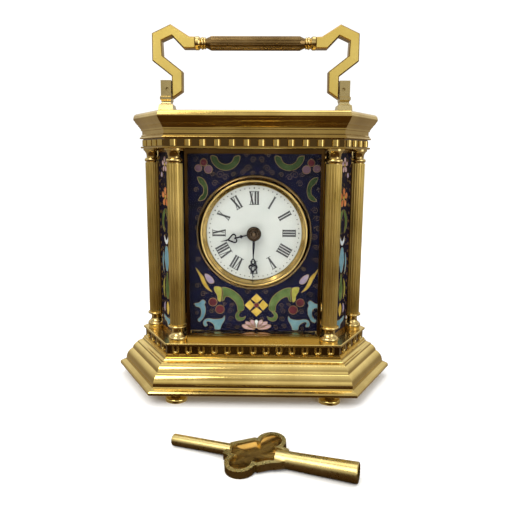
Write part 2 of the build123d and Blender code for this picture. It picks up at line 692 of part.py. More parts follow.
def click():
    """Pawl on its stud, its tip just clear of the ratchet teeth."""
    x, z = CLICK_SPOT
    arm = polygon([(0, 1.9), (7.0, 1.1), (7.0, 0.0), (0, -1.9)])
    face = Pos(x, z) * Rot(0, 0, degrees(CLICK_TIP_ANGLE) - 90) * (Circle(2.0) + arm)
    return slab_y(face, 10.8, 11.9) - rod_y(x, z, 0.8 + PIVOT_GAP, 10.8, 11.9)


def centre_wheel():
    """Centre wheel and pinion on the long arbor that also carries the minute hand."""
    pinion_angle = tooth_toward(0, DIAL_Z, 0, BARREL_Z) + 180 / CENTRE_PINION_TEETH
    pinion = gear_face(CENTRE_PINION_TEETH, BARREL_MODULE, 0, DIAL_Z, pinion_angle)
    wheel_angle = tooth_toward(0, DIAL_Z, THIRD_X, THIRD_Z)
    wheel = gear_face(CENTRE_TEETH, CENTRE_MODULE, 0, DIAL_Z, wheel_angle)
    wheel -= spoke_windows(0, DIAL_Z, 3.6, 10.2, 4, 1.6)
    solid = slab_y(pinion, -4.7, -2.3) + slab_y(wheel, 5.4, 6.4)
    solid += rod_y(0, DIAL_Z, 1.4, FRONT_PLATE[1] + SHAKE, BACK_PLATE[0] - SHAKE)
    solid += rod_y(0, DIAL_Z, 1.0, -8.0, FRONT_PLATE[1] + SHAKE)
    solid += rod_y(0, DIAL_Z, 0.9, -14.5, -8.0)
    return solid + rod_y(0, DIAL_Z, 0.5, BACK_PLATE[0] - SHAKE, BACK_PLATE[1])


def cannon_pinion():
    """Friction-tight pipe on the centre arbor, with the pinion that drives the motion work."""
    tooth = tooth_toward(0, DIAL_Z, MINUTE_WHEEL_X, DIAL_Z)
    pinion = gear_face(CANNON_TEETH, CANNON_MODULE, 0, DIAL_Z, tooth)
    solid = slab_y(pinion, -8.5, -7.3) + rod_y(0, DIAL_Z, 1.35, -13.7, -8.5)
    bore = rod_y(0, DIAL_Z, 1.0, -8.0, -7.0) + rod_y(0, DIAL_Z, 0.9, -14, -8.0)
    return solid - bore


def minute_wheel():
    tooth = tooth_toward(MINUTE_WHEEL_X, DIAL_Z, 0, DIAL_Z)
    wheel = gear_face(MINUTE_WHEEL_TEETH, CANNON_MODULE, MINUTE_WHEEL_X, DIAL_Z,
                      tooth + 180 / MINUTE_WHEEL_TEETH)
    pinion = gear_face(MINUTE_PINION_TEETH, HOUR_MODULE, MINUTE_WHEEL_X, DIAL_Z, tooth)
    solid = slab_y(wheel, -8.4, -7.5) + slab_y(pinion, -9.8, -8.4)
    return solid - rod_y(MINUTE_WHEEL_X, DIAL_Z, 0.7 + PIVOT_GAP, -9.8, -7.5)


def hour_wheel():
    tooth = tooth_toward(0, DIAL_Z, MINUTE_WHEEL_X, DIAL_Z)
    wheel = gear_face(HOUR_TEETH, HOUR_MODULE, 0, DIAL_Z, tooth + 180 / HOUR_TEETH)
    solid = slab_y(wheel, -9.7, -8.9) + rod_y(0, DIAL_Z, 1.9, -13.0, -9.7)
    return solid - rod_y(0, DIAL_Z, 1.35 + PIVOT_GAP, -13.0, -8.9)


def third_wheel():
    pinion_angle = tooth_toward(THIRD_X, THIRD_Z, 0, DIAL_Z) + 180 / THIRD_PINION_TEETH
    pinion = gear_face(THIRD_PINION_TEETH, CENTRE_MODULE, THIRD_X, THIRD_Z, pinion_angle)
    wheel_angle = tooth_toward(THIRD_X, THIRD_Z, CONTRATE_X, CONTRATE_Z)
    wheel = gear_face(THIRD_TEETH, THIRD_MODULE, THIRD_X, THIRD_Z, wheel_angle)
    wheel -= spoke_windows(THIRD_X, THIRD_Z, 3.0, 8.8, 4, 1.4)
    solid = slab_y(pinion, 5.0, 6.9) + slab_y(wheel, -1.0, -0.2)
    return solid + arbor_y(THIRD_X, THIRD_Z, 0.9)


def arbor_y(x, z, radius):
    """Plain arbor between the plates with a pivot at each end."""
    front, back = FRONT_PLATE[1] + SHAKE, BACK_PLATE[0] - SHAKE
    return rod_y(x, z, radius, front, back) + rod_y(x, z, 0.5, FRONT_PLATE[0], BACK_PLATE[1])


def contrate_wheel():
    """Crown wheel whose teeth point back towards the upright escape pinion."""
    pinion_angle = tooth_toward(CONTRATE_X, CONTRATE_Z, THIRD_X, THIRD_Z)
    pinion_angle += 180 / CONTRATE_PINION_TEETH
    pinion = gear_face(CONTRATE_PINION_TEETH, THIRD_MODULE, CONTRATE_X, CONTRATE_Z, pinion_angle)
    rim = Pos(CONTRATE_X, CONTRATE_Z) * (Circle(6.6) - Circle(5.8))
    disc = Pos(CONTRATE_X, CONTRATE_Z) * Circle(6.6)
    disc -= spoke_windows(CONTRATE_X, CONTRATE_Z, 2.0, 5.4, 4, 1.2)
    crown = slab_y(rim, 2.8, 4.4)
    gap = Pos(6.3, 0) * Rectangle(1.4, 0.44)
    gaps = Sketch() + [Rot(0, 0, i * 360 / CONTRATE_TEETH) * gap for i in range(CONTRATE_TEETH)]
    crown -= slab_y(Pos(CONTRATE_X, CONTRATE_Z) * gaps, 3.2, 4.4)
    solid = slab_y(pinion, -1.3, 0.1) + slab_y(disc, 2.0, 2.8) + crown
    return solid + arbor_y(CONTRATE_X, CONTRATE_Z, 0.7)


# ---------------------------------------------------------------- platform escapement
def platform():
    plate = box_between((-21, FRONT_PLATE[0], PLATE_TOP), (21, BACK_PLATE[1], PLATFORM_TOP))
    x, y = ESCAPE_SPOT
    plate -= rod_z(x, y, 1.5, PLATE_TOP, PLATFORM_TOP)
    for (x, y), radius in ((LEVER_SPOT, 0.3), (BALANCE_SPOT, 0.35)):
        plate -= rod_z(x, y, radius + PIVOT_GAP, PLATE_TOP, PLATFORM_TOP)
    return plate


ESCAPE_LEVEL = (88.4, 88.9)
COCK_LEVEL = (90.0, 90.7)
BALANCE_LEVEL = (91.5, 92.3)
BALANCE_COCK_LEVEL = (93.6, 94.8)


def platform_cocks():
    """Bridge over the escape wheel and lever, and the cock over the balance."""
    bridge = box_between((-6.6, 1.6, COCK_LEVEL[0]), (6.8, 7.4, COCK_LEVEL[1]))
    bridge += box_between((5.2, 1.6, PLATFORM_TOP), (6.8, 7.4, COCK_LEVEL[1]))
    bridge -= rod_z(*ESCAPE_SPOT, 0.3 + PIVOT_GAP, *COCK_LEVEL)
    bridge -= rod_z(*LEVER_SPOT, 0.3 + PIVOT_GAP, *COCK_LEVEL)
    x, y = BALANCE_SPOT
    cock = box_between((-20.6, y - 2.6, BALANCE_COCK_LEVEL[0]), (x, y + 2.6, BALANCE_COCK_LEVEL[1]))
    cock += rod_z(x, y, 2.6, *BALANCE_COCK_LEVEL)
    cock += box_between((-20.6, y - 2.6, PLATFORM_TOP), (-18.2, y + 2.6, BALANCE_COCK_LEVEL[1]))
    return [bridge, cock - rod_z(x, y, 0.35 + PIVOT_GAP, *BALANCE_COCK_LEVEL)]


def escape_wheel():
    """Fifteen-tooth escape wheel on an upright arbor, its pinion under the platform."""
    x, y = ESCAPE_SPOT
    tip, root = 3.9, 3.0
    points = []
    for i in range(ESCAPE_TEETH):
        start = 2 * pi * i / ESCAPE_TEETH
        points.append((tip * cos(start), tip * sin(start)))
        points.append((root * cos(start + 0.09), root * sin(start + 0.09)))
        points.append((root * cos(start + 0.30), root * sin(start + 0.30)))
    face = polygon(points) - spoke_windows(0, 0, 0.9, 2.4, 4, 0.5)
    pinion = gear_face(8, 0.3, 0, 0, 0)
    wheel = Pos(x, y, ESCAPE_LEVEL[0]) * extrude(face, ESCAPE_LEVEL[1] - ESCAPE_LEVEL[0])
    wheel += Pos(x, y, 82.4) * extrude(pinion, 3.2)
    wheel += rod_z(x, y, 0.55, 82.4, COCK_LEVEL[0] - SHAKE)
    return wheel + rod_z(x, y, 0.3, COCK_LEVEL[0] - SHAKE, COCK_LEVEL[1])


def pallet_lever():
    """Lever with two pallet arms and a fork reaching to the balance staff."""
    x, y = LEVER_SPOT
    line = degrees(atan2(ESCAPE_SPOT[1] - y, ESCAPE_SPOT[0] - x))
    face = Circle(0.9) + Pos(-2.1, 0) * Rectangle(4.2, 0.6)
    face += polygon([(-0.4, -0.5), (1.2, -2.6), (1.5, -2.2), (0.5, 0.5)])
    face += polygon([(-0.4, 0.5), (1.2, 2.6), (1.5, 2.2), (0.5, -0.5)])
    lever = Pos(x, y, 88.3) * Rot(0, 0, line) * extrude(face, 0.6)
    return lever + rod_z(x, y, 0.3, PLATE_TOP, COCK_LEVEL[1])


def balance_wheel():
    """Rimmed balance with two arms and timing screws, on its staff."""
    x, y = BALANCE_SPOT
    face = Circle(BALANCE_RADIUS - 0.5) - Circle(BALANCE_RADIUS - 1.5)
    face += Rectangle(2 * BALANCE_RADIUS - 2, 0.9) + Circle(1.1)
    wheel = Pos(x, y, BALANCE_LEVEL[0]) * extrude(face, BALANCE_LEVEL[1] - BALANCE_LEVEL[0])
    middle = (BALANCE_LEVEL[0] + BALANCE_LEVEL[1]) / 2
    for i in range(12):
        screw = Pos(BALANCE_RADIUS - 0.35, 0, 0) * Rot(0, 90, 0) * Cylinder(0.32, 0.7)
        wheel += Pos(x, y, middle) * Rot(0, 0, 15 + i * 30) * screw
    wheel += rod_z(x, y, 0.6, PLATFORM_TOP + SHAKE, BALANCE_COCK_LEVEL[0] - SHAKE)
    return wheel + rod_z(x, y, 0.35, PLATE_TOP, BALANCE_COCK_LEVEL[1])


def hairspring():
    """Flat spiral spring round the balance staff, pinned to a collet on it."""
    turns, inner, outer, thickness = 5, 0.6, 3.6, 0.14
    steps = turns * 24
    outside, inside = [], []
    for i in range(steps + 1):
        angle = i * 2 * pi / 24
        radius = inner + thickness + (outer - inner - thickness) * i / steps
        outside.append((radius * cos(angle), radius * sin(angle)))
        inside.append(((radius - thickness) * cos(angle), (radius - thickness) * sin(angle)))
    return Pos(*BALANCE_SPOT, 92.7) * extrude(polygon(outside + inside[::-1]), 0.4)


# ---------------------------------------------------------------- winding key
def key_bow_face(rim):
    """Outline of the bow, shrunk by rim: an oval along the key, two round staggered lobes and the
    web between them."""
    face = Pos(0.9, 0) * Ellipse(10.0 - rim, 4.8 - rim)
    for side in (-1, 1):
        face += Pos(LOBE_OFFSET[0] * side, LOBE_OFFSET[1] * side) * Circle(4.6 - rim)
    share = 1 - rim / 6.2
    half_web = [(9.2 * share, 3.6 * share), (-2.6 * share, 6.4 * share), (-8.9 * share, 2.0 * share)]
    return face + polygon(half_web + [(-x, -y) for x, y in half_web])


def key_bow():
    """Dished bow, one side a little higher than the other."""
    bow = extrude(key_bow_face(0), 1.2, both=True)
    bow -= Pos(0, 0, -0.4) * extrude(key_bow_face(1.3), 3)
    return Pos(BOW_X, 0, 0) * Rot(6, 0, 0) * bow


def winding_key():
    """Double-ended key lying with both ends on the ground, its bow between the two tubes."""
    half, length = KEY_HALF_LENGTH, KEY_HALF_LENGTH - TUBE_START_X
    taper = Cone(KEY_NECK_RADIUS, KEY_TUBE_RADIUS, length)
    key = key_bow() + Pos(half - length / 2, 0, 0) * Rot(0, 90, 0) * taper
    key += rod_x(0, 0, KEY_SMALL_RADIUS, -half, -9.4)
    large = box_between((half - 13, -1.6, -1.6), (half, 1.6, 1.6))
    small = box_between((-half, -0.95, -0.95), (10 - half, 0.95, 0.95))
    key = key - large - small
    rims = [e for e in key.edges().filter_by(GeomType.CIRCLE)
            if abs(abs(e.center().X) - half) < 0.01 and e.radius > 1.5]
    key = chamfer(rims, 0.25)
    lean = degrees(atan2(KEY_TUBE_RADIUS - KEY_SMALL_RADIUS, 2 * half))
    height = (KEY_TUBE_RADIUS + KEY_SMALL_RADIUS) / 2 + 0.02
    return Pos(*KEY_MIDDLE, height) * Rot(0, 0, KEY_DIRECTION) * Rot(0, -lean, 0) * key


# ---------------------------------------------------------------- sub-parts
def main():
    write("base_moulding", base_moulding())
    write("plinth_dentil_band", plinth_dentil_band())
    write("bottom_plate", bottom_plate())
    write("feet", *feet())

    names = ["front_left", "front_right", "side_left", "side_right", "rear_left", "rear_right"]
    spots = column_spots()
    for name, (x, y) in zip(names, spots):
        write(f"column_{name}", column_shaft(x, y))
    write("column_bases", *[Pos(x, y, PLINTH_TOP) * column_base() for x, y in spots])
    write("column_capitals", *[Pos(x, y, SHAFT_TOP) * column_capital() for x, y in spots])

    write("cornice", cornice())
    write("cornice_dentil_band", *cornice_dentil_band())
    write("top_glass", top_glass())
    write("front_frame", front_frame())
    write("front_glass", front_glass())
    write("dial_mask", dial_mask())
    write("dial_bezel", dial_bezel())
    write("dial", dial())
    for name, quarter in zip(("front_right", "rear_right", "rear_left", "front_left"), PANEL_QUARTERS):
        write(f"enamel_panel_{name}", side_panel(quarter))
    write("side_panel_frames", *[side_panel_frame(quarter) for quarter in PANEL_QUARTERS])

    write("rear_door_frame", rear_door_frame())
    write("rear_door_glass", rear_door_glass())
    write("rear_door_knob", rear_door_knob())

    left_arm, right_arm = handle_arm().mirror(Plane.YZ), handle_arm()
    write("handle_arm_left", left_arm)
    write("handle_arm_right", right_arm)
    write("handle_grip", handle_grip())
    write("handle_collars", *handle_collars())
    write("handle_tie_rod", handle_tie_rod())
    write("handle_posts", *mirrored_pair(handle_post()))
    write("handle_pivot_screws", *mirrored_pair(handle_pivot_screw()))

    write("hour_hand", hour_hand())
    write("minute_hand", minute_hand())
    write("hand_washer", hand_washer())

    write("movement_front_plate", movement_front_plate())
    write("movement_back_plate", movement_back_plate())
    write("movement_pillars", *movement_pillars())
    write("mainspring_barrel", mainspring_barrel())
    write("mainspring", mainspring())
    write("barrel_arbor", barrel_arbor())
    write("ratchet_wheel", ratchet_wheel())
    write("click", click())
    write("centre_wheel", centre_wheel())
    write("cannon_pinion", cannon_pinion())
    write("minute_wheel", minute_wheel())
    write("hour_wheel", hour_wheel())
    write("third_wheel", third_wheel())
    write("contrate_wheel", contrate_wheel())

    write("platform", platform())
    write("platform_cocks", *platform_cocks())
    write("escape_wheel", escape_wheel())
    write("pallet_lever", pallet_lever())
    write("balance_wheel", balance_wheel())
    write("hairspring", hairspring())
    write("winding_key", winding_key())


main()
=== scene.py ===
from math import atan2, cos, pi, radians, sin, tau
from random import Random

import bmesh
import bpy
from mathutils import Matrix, Vector


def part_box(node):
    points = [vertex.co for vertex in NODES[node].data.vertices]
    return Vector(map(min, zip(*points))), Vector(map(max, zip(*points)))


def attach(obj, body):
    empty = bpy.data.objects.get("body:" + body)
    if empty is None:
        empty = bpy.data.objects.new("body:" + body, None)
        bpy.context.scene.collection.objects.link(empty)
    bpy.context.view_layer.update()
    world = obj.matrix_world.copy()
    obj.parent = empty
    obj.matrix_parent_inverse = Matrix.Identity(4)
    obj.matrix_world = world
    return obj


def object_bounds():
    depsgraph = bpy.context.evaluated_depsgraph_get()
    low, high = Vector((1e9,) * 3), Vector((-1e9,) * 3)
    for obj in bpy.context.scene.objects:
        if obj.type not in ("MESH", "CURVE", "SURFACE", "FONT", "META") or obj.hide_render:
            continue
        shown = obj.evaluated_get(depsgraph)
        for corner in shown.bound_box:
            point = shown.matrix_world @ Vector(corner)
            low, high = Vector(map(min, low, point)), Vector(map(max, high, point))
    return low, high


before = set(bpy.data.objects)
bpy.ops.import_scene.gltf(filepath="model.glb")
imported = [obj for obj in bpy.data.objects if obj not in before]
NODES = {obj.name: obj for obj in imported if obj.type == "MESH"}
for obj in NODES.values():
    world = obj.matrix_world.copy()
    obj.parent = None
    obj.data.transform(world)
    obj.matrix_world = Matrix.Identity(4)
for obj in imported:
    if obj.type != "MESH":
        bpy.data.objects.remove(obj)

# Carriage clock: materials on the CAD nodes, cloisonné inlays, dial printing, studio and camera.
# Outlines below are in millimetres on the panel they belong to; MM turns them into metres.
MM = 0.001
CAD_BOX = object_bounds()


def corner(bounds, index):
    return [float(x) for x in bounds[index]]


FLOOR_Z = corner(CAD_BOX, 0)[2]
dial_low, dial_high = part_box("dial")
DIAL_CENTRE = Vector(((dial_low.x + dial_high.x) / 2, dial_low.y, (dial_low.z + dial_high.z) / 2))


# ---------------------------------------------------------------- camera
CAMERA_PLACE = Vector((3.06, -215.6, 90.5)) * MM
CAMERA_TURN = (79.658, -0.290, 0.961)       # degrees about x, y and z
LENS = 38.68
SENSOR = 36.0


def add_camera():
    data = bpy.data.cameras.new("camera")
    data.lens, data.sensor_width = LENS, SENSOR
    data.clip_start, data.clip_end = 0.005, 50
    camera = bpy.data.objects.new("camera", data)
    bpy.context.scene.collection.objects.link(camera)
    camera.location = CAMERA_PLACE + Vector((0, 0, FLOOR_Z))
    camera.rotation_euler = [radians(turn) for turn in CAMERA_TURN]
    bpy.context.scene.camera = camera


# ---------------------------------------------------------------- material helpers
# The case's plan: a slanting face at distance k from the middle goes with front and back faces
# at k less this inset
FLAT_INSET = 17.05
# Bands of other colour: furthest distance from the middle, lower and upper height. The recess bands
# take painted shade; the sill band keeps plain brass on a frame painted dark for shade
CORNICE_RECESS = (37.75, 93.15, 95.95)
FRIEZE_RECESS = (38.82, 16.5, 19.95)
BRIGHT_SILL = (99.0, 20.0, 22.95)
# Painted shade: colour given to the recessed grounds of the cornice and the frieze
RECESS_PAINTED_SHADE = (0.17, 0.105, 0.035)
# Plain brass for the sill of the front frame, whose other brass is painted dark as painted shade
SILL_BRASS = (0.62, 0.45, 0.15)
# Painted shade for the handle arms' sides and chamfers
ARM_EDGE_PAINTED_SHADE = (0.34, 0.22, 0.07)
# Painted dark reflection on the bezel's outer slope, beyond the next radius
SLOPE_PAINTED_DARK = (0.17, 0.11, 0.045)
BEZEL_SLOPE_RADIUS = 20.25
COLLET_RADIUS = 2.75
# Painted highlights and painted shade of the collet's turned rings, from its axis to its edge, by
# share of its radius
COLLET_PAINTED_RINGS = ((0.0, (0.20, 0.14, 0.085)), (0.22, (0.07, 0.046, 0.028)),
                (0.40, (0.005, 0.0035, 0.0025)), (0.53, (0.10, 0.066, 0.04)),
                (0.66, (0.010, 0.007, 0.005)), (0.82, (0.055, 0.036, 0.022)),
                (0.97, (0.005, 0.0035, 0.0025)))
SCRATCH_DEPTH = 0.0004
SQUARE_ON = 0.97            # how nearly a normal must point along y to face front or back


def set_stops(node, stops):
    """Gives a colour ramp node its stops, each (position, colour)."""
    elements = node.color_ramp.elements
    while len(elements) < len(stops):
        elements.new(stops[len(elements) - 1][0])
    for element, (position, colour) in zip(elements, stops):
        element.position = position
        element.color = (*colour, 1.0)


class Nodes:
    """A new node material with a Principled shader, and short calls to wire nodes up."""

    def __init__(self, name):
        self.material = bpy.data.materials.new(name)
        self.material.use_nodes = True
        self.tree = self.material.node_tree
        self.shader = self.tree.nodes["Principled BSDF"]
        self.place = self.add("ShaderNodeTexCoord").outputs["Object"]

    def add(self, kind, **values):
        node = self.tree.nodes.new(kind)
        for key, value in values.items():
            if hasattr(node, key):
                setattr(node, key, value)
            else:
                node.inputs[key.replace("_", " ")].default_value = value
        return node

    def link(self, source, target):
        self.tree.links.new(source, target)

    def set(self, **values):
        for key, value in values.items():
            self.shader.inputs[key.replace("_", " ")].default_value = value

    def scaled(self, scale):
        """Object coordinates stretched by a scale for each axis."""
        mapping = self.add("ShaderNodeMapping")
        mapping.inputs["Scale"].default_value = scale
        self.link(self.place, mapping.inputs["Vector"])
        return mapping.outputs["Vector"]

    def noise(self, scale, detail=4.0, roughness=0.55, vector=None):
        node = self.add("ShaderNodeTexNoise", Scale=scale, Detail=detail, Roughness=roughness)
        self.link(vector or self.place, node.inputs["Vector"])
        return node.outputs["Fac"]

    def ramp(self, factor, *stops):
        """Colour ramp; each stop is (position, colour)."""
        node = self.add("ShaderNodeValToRGB")
        set_stops(node, stops)
        self.link(factor, node.inputs["Fac"])
        return node.outputs["Color"]

    def levels(self, factor, low, high):
        """Maps 0..1 noise to low..high."""
        node = self.add("ShaderNodeMapRange")
        node.inputs["To Min"].default_value = low
        node.inputs["To Max"].default_value = high
        self.link(factor, node.inputs["Value"])
        return node.outputs["Result"]

    def math(self, operation, *values):
        node = self.add("ShaderNodeMath", operation=operation)
        for socket, value in zip(node.inputs, values):
            if isinstance(value, float):
                socket.default_value = value
            else:
                self.link(value, socket)
        return node.outputs[0]

    def inside_band(self, distance, bottom, top):
        """1 on the case's surfaces nearer its middle than distance, between two heights (mm)."""
        split = self.add("ShaderNodeSeparateXYZ")
        self.link(self.place, split.inputs[0])
        x, y = (self.math("ABSOLUTE", split.outputs[axis]) for axis in "XY")
        flat = self.math("ADD", y, FLAT_INSET * MM)
        slant = self.math("ADD", self.math("MULTIPLY", x, cos(pi / 6)),
                          self.math("MULTIPLY", y, sin(pi / 6)))
        near = self.math("LESS_THAN", self.math("MAXIMUM", flat, slant), distance * MM)
        above = self.math("GREATER_THAN", split.outputs["Z"], bottom * MM + FLOOR_Z)
        below = self.math("LESS_THAN", split.outputs["Z"], top * MM + FLOOR_Z)
        return self.math("MULTIPLY", near, self.math("MULTIPLY", above, below))

    def dial_radius(self):
        """Distance (m) from the dial's axis."""
        split = self.add("ShaderNodeSeparateXYZ")
        self.link(self.place, split.inputs[0])
        across = self.math("SUBTRACT", split.outputs["X"], DIAL_CENTRE.x)
        up = self.math("SUBTRACT", split.outputs["Z"], DIAL_CENTRE.z)
        square = self.math("ADD", self.math("MULTIPLY", across, across),
                           self.math("MULTIPLY", up, up))
        return self.math("SQRT", square)

    def off_front_and_back(self):
        """1 on surfaces that face neither the front nor the back of the piece."""
        split = self.add("ShaderNodeSeparateXYZ")
        self.link(self.add("ShaderNodeTexCoord").outputs["Normal"], split.inputs[0])
        return self.math("LESS_THAN", self.math("ABSOLUTE", split.outputs["Y"]), SQUARE_ON)

    def mixed(self, factor, colour, other):
        node = self.add("ShaderNodeMix", data_type="RGBA")
        self.link(factor, node.inputs["Factor"])
        self.link(colour, node.inputs["A"])
        node.inputs["B"].default_value = (*other, 1.0)
        return node.outputs["Result"]

    def bump(self, height, strength, distance):
        node = self.add("ShaderNodeBump", Strength=strength, Distance=distance)
        self.link(height, node.inputs["Height"])
        self.link(node.outputs["Normal"], self.shader.inputs["Normal"])


def brass(name, dark, light, roughness, scratch=(1.0, 1.0, 1.0), bump=0.02, grain=900.0,
          band=None, band_colour=RECESS_PAINTED_SHADE, side_painted_shade=None, beyond=None):
    """Metal with cloudy tarnish, fine directional scratches and uneven polish.

    A band of the case can take another colour, painted shade in recesses or plain brass on a frame
    painted dark for shade; surfaces that don't face front or back can take painted shade, and
    everything beyond a radius (mm) about the dial's axis a painted dark reflection."""
    m = Nodes(name)
    cloud = m.noise(55.0, 5.0)
    colour = m.ramp(cloud, (0.30, dark), (0.72, light))
    # Painted shade in a recessed band, or plain brass on a frame painted dark for shade
    if band:
        colour = m.mixed(m.inside_band(*band), colour, band_colour)
    # Painted shade on surfaces that face sideways
    if side_painted_shade:
        colour = m.mixed(m.off_front_and_back(), colour, side_painted_shade)
    # Painted dark reflection beyond a radius about the dial's axis
    if beyond:
        colour = m.mixed(m.math("GREATER_THAN", m.dial_radius(), beyond * MM), colour,
                         SLOPE_PAINTED_DARK)
    m.link(colour, m.shader.inputs["Base Color"])
    m.set(Metallic=1.0)
    scratches = m.noise(grain, 3.0, 0.6, m.scaled(scratch))
    wear = m.math("MULTIPLY", scratches, cloud)
    m.link(m.levels(wear, roughness * 0.6, roughness * 2.0), m.shader.inputs["Roughness"])
    m.bump(scratches, bump, SCRATCH_DEPTH)
    return m.material


def enamel(name, dark, light, scale=260.0, roughness=0.34, coat=0.03):
    """Fired glass enamel: mottled colour with small pits under a glossy surface."""
    m = Nodes(name)
    cloud = m.noise(scale, 5.0, 0.6)
    m.link(m.ramp(cloud, (0.32, dark), (0.70, light)), m.shader.inputs["Base Color"])
    m.link(m.levels(m.noise(scale * 3), roughness * 0.7, roughness * 1.6),
           m.shader.inputs["Roughness"])
    m.set(Coat_Weight=coat, Coat_Roughness=0.08, Specular_IOR_Level=0.06)
    m.bump(m.noise(scale * 2, 3.0), 0.06, 0.0002)
    return m.material


def steel(name, dark, light, roughness):
    """Metal with a finer grain than brass."""
    return brass(name, dark, light, roughness, bump=0.03, grain=1500.0)


def collet_painted_rings():
    """Dark bronze with painted highlights and painted shade for the turned rings of the collet."""
    m = Nodes("collet_painted_rings")
    share = m.math("DIVIDE", m.dial_radius(), COLLET_RADIUS * MM)
    m.link(m.ramp(share, *COLLET_PAINTED_RINGS), m.shader.inputs["Base Color"])
    m.set(Metallic=1.0)
    wear = m.noise(1500.0, 3.0, 0.6)
    m.link(m.levels(wear, 0.2, 0.4), m.shader.inputs["Roughness"])
    m.bump(wear, 0.03, SCRATCH_DEPTH)
    return m.material


def glass(name, tint):
    """Clear plate glass with faint waviness and a trace of dust."""
    m = Nodes(name)
    m.set(Base_Color=(*tint, 1.0), Transmission_Weight=1.0, IOR=1.12)
    m.link(m.levels(m.noise(120.0, 3.0), 0.0, 0.02), m.shader.inputs["Roughness"])
    m.bump(m.noise(30.0, 1.0), 0.02, 0.0002)
    return m.material


def dial_white():
    """Slightly grey white enamel of the dial."""
    m = Nodes("dial_white")
    cloud = m.noise(90.0, 4.0)
    m.link(m.ramp(cloud, (0.3, (0.450, 0.480, 0.459)), (0.7, (0.512, 0.533, 0.508))),
           m.shader.inputs["Base Color"])
    m.link(m.levels(m.noise(300.0), 0.35, 0.55), m.shader.inputs["Roughness"])
    m.set(Coat_Weight=0.02, Coat_Roughness=0.2, Specular_IOR_Level=0.08)
    m.bump(m.noise(700.0, 2.0), 0.03, 0.0001)
    return m.material


def assign(material, *names):
    """Puts one material on all of each named CAD node."""
    for name in names:
        if not NODES[name].material_slots:
            NODES[name].data.materials.append(material)
        for slot in NODES[name].material_slots:
            slot.material = material


def nodes_starting(prefix):
    return [name for name in NODES if name.startswith(prefix)]


def dress_case():
    assign(brass("polished_brass", (0.60, 0.43, 0.13), (0.87, 0.67, 0.25), 0.13),
           "base_moulding", "cornice_dentil_band", "feet", "rear_door_frame", "rear_door_knob")
    # The cornice's recessed ground between its drops takes painted shade
    assign(brass("cornice_brass", (0.50, 0.34, 0.095), (0.76, 0.56, 0.19), 0.14,
                 band=CORNICE_RECESS), "cornice")
    # The frieze's recessed ground behind its dentils takes painted shade
    assign(brass("frieze_brass", (0.56, 0.40, 0.12), (0.80, 0.61, 0.22), 0.24,
                 band=FRIEZE_RECESS), "plinth_dentil_band")
    # Painted shade: the front frame and the side panels' frames are painted dark brown for the
    # shade they stand in
    assign(brass("frame_brass", (0.09, 0.048, 0.015), (0.24, 0.14, 0.045), 0.22,
                 band=BRIGHT_SILL, band_colour=SILL_BRASS), "front_frame")
    assign(brass("panel_frame_brass", (0.10, 0.055, 0.018), (0.26, 0.155, 0.05), 0.26),
           "side_panel_frames")
    turned = ("column_bases", "column_capitals")
    assign(brass("turned_brass", (0.52, 0.37, 0.13), (0.80, 0.62, 0.27), 0.2), *turned,
           "handle_collars")
    assign(brass("column_brass", (0.64, 0.47, 0.13), (0.92, 0.71, 0.25), 0.36,
                 scratch=(6.0, 6.0, 0.3)),
           *[name for name in nodes_starting("column_") if name not in turned])


def dress_handle_and_key():
    # The arms' sides and chamfers take painted shade
    assign(brass("satin_brass", (0.90, 0.66, 0.16), (1.0, 0.80, 0.25), 0.36,
                 scratch=(1.0, 1.0, 5.0), bump=0.04, side_painted_shade=ARM_EDGE_PAINTED_SHADE),
           "handle_arm_left", "handle_arm_right")
    assign(brass("post_brass", (0.42, 0.33, 0.14), (0.70, 0.57, 0.28), 0.28), "handle_posts")
    assign(brass("bronzed_brass", (0.15, 0.09, 0.03), (0.36, 0.24, 0.10), 0.32,
                 scratch=(0.3, 6.0, 6.0), bump=0.05), "handle_grip")
    assign(steel("screw_steel", (0.06, 0.05, 0.04), (0.20, 0.17, 0.13), 0.3), "handle_pivot_screws")
    assign(brass("key_brass", (0.46, 0.35, 0.115), (0.66, 0.54, 0.24), 0.30), "winding_key")


def dress_movement():
    assign(brass("movement_brass", (0.62, 0.46, 0.20), (0.80, 0.64, 0.34), 0.3,
                 scratch=(1.0, 1.0, 8.0)),
           "bottom_plate", "movement_front_plate", "movement_back_plate", "mainspring_barrel",
           "centre_wheel", "cannon_pinion", "minute_wheel", "hour_wheel", "third_wheel",
           "contrate_wheel", "platform", "platform_cocks", "balance_wheel")
    assign(steel("polished_steel", (0.42, 0.43, 0.45), (0.66, 0.67, 0.69), 0.2),
           "movement_pillars", "barrel_arbor", "ratchet_wheel", "click", "escape_wheel",
           "pallet_lever", "handle_tie_rod")
    assign(steel("blue_spring_steel", (0.03, 0.05, 0.14), (0.10, 0.14, 0.28), 0.25),
           "mainspring", "hairspring")


def dress_face():
    # The bezel's brass is painted darker, and its outer slope darker still: painted dark reflection
    assign(brass("bezel_brass", (0.36, 0.24, 0.075), (0.62, 0.45, 0.165), 0.15,
                 beyond=BEZEL_SLOPE_RADIUS), "dial_bezel")
    assign(steel("blued_steel", (0.010, 0.010, 0.016), (0.035, 0.032, 0.040), 0.28),
           "hour_hand", "minute_hand")
    # The collet's rings are painted highlights and painted shade
    assign(collet_painted_rings(), "hand_washer")
    assign(enamel("enamel_ground", (0.0012, 0.0014, 0.009), (0.0045, 0.0045, 0.027)),
           "dial_mask", *nodes_starting("enamel_panel_"))
    assign(dial_white(), "dial")


def dress_glass():
    """Panes cast no shadow, so that the soft light reaches the pieces behind them."""
    panes = ("front_glass", "top_glass", "rear_door_glass")
    assign(glass("clear_glass", (0.985, 0.99, 0.985)), *panes)
    for name in panes:
        NODES[name].visible_shadow = False


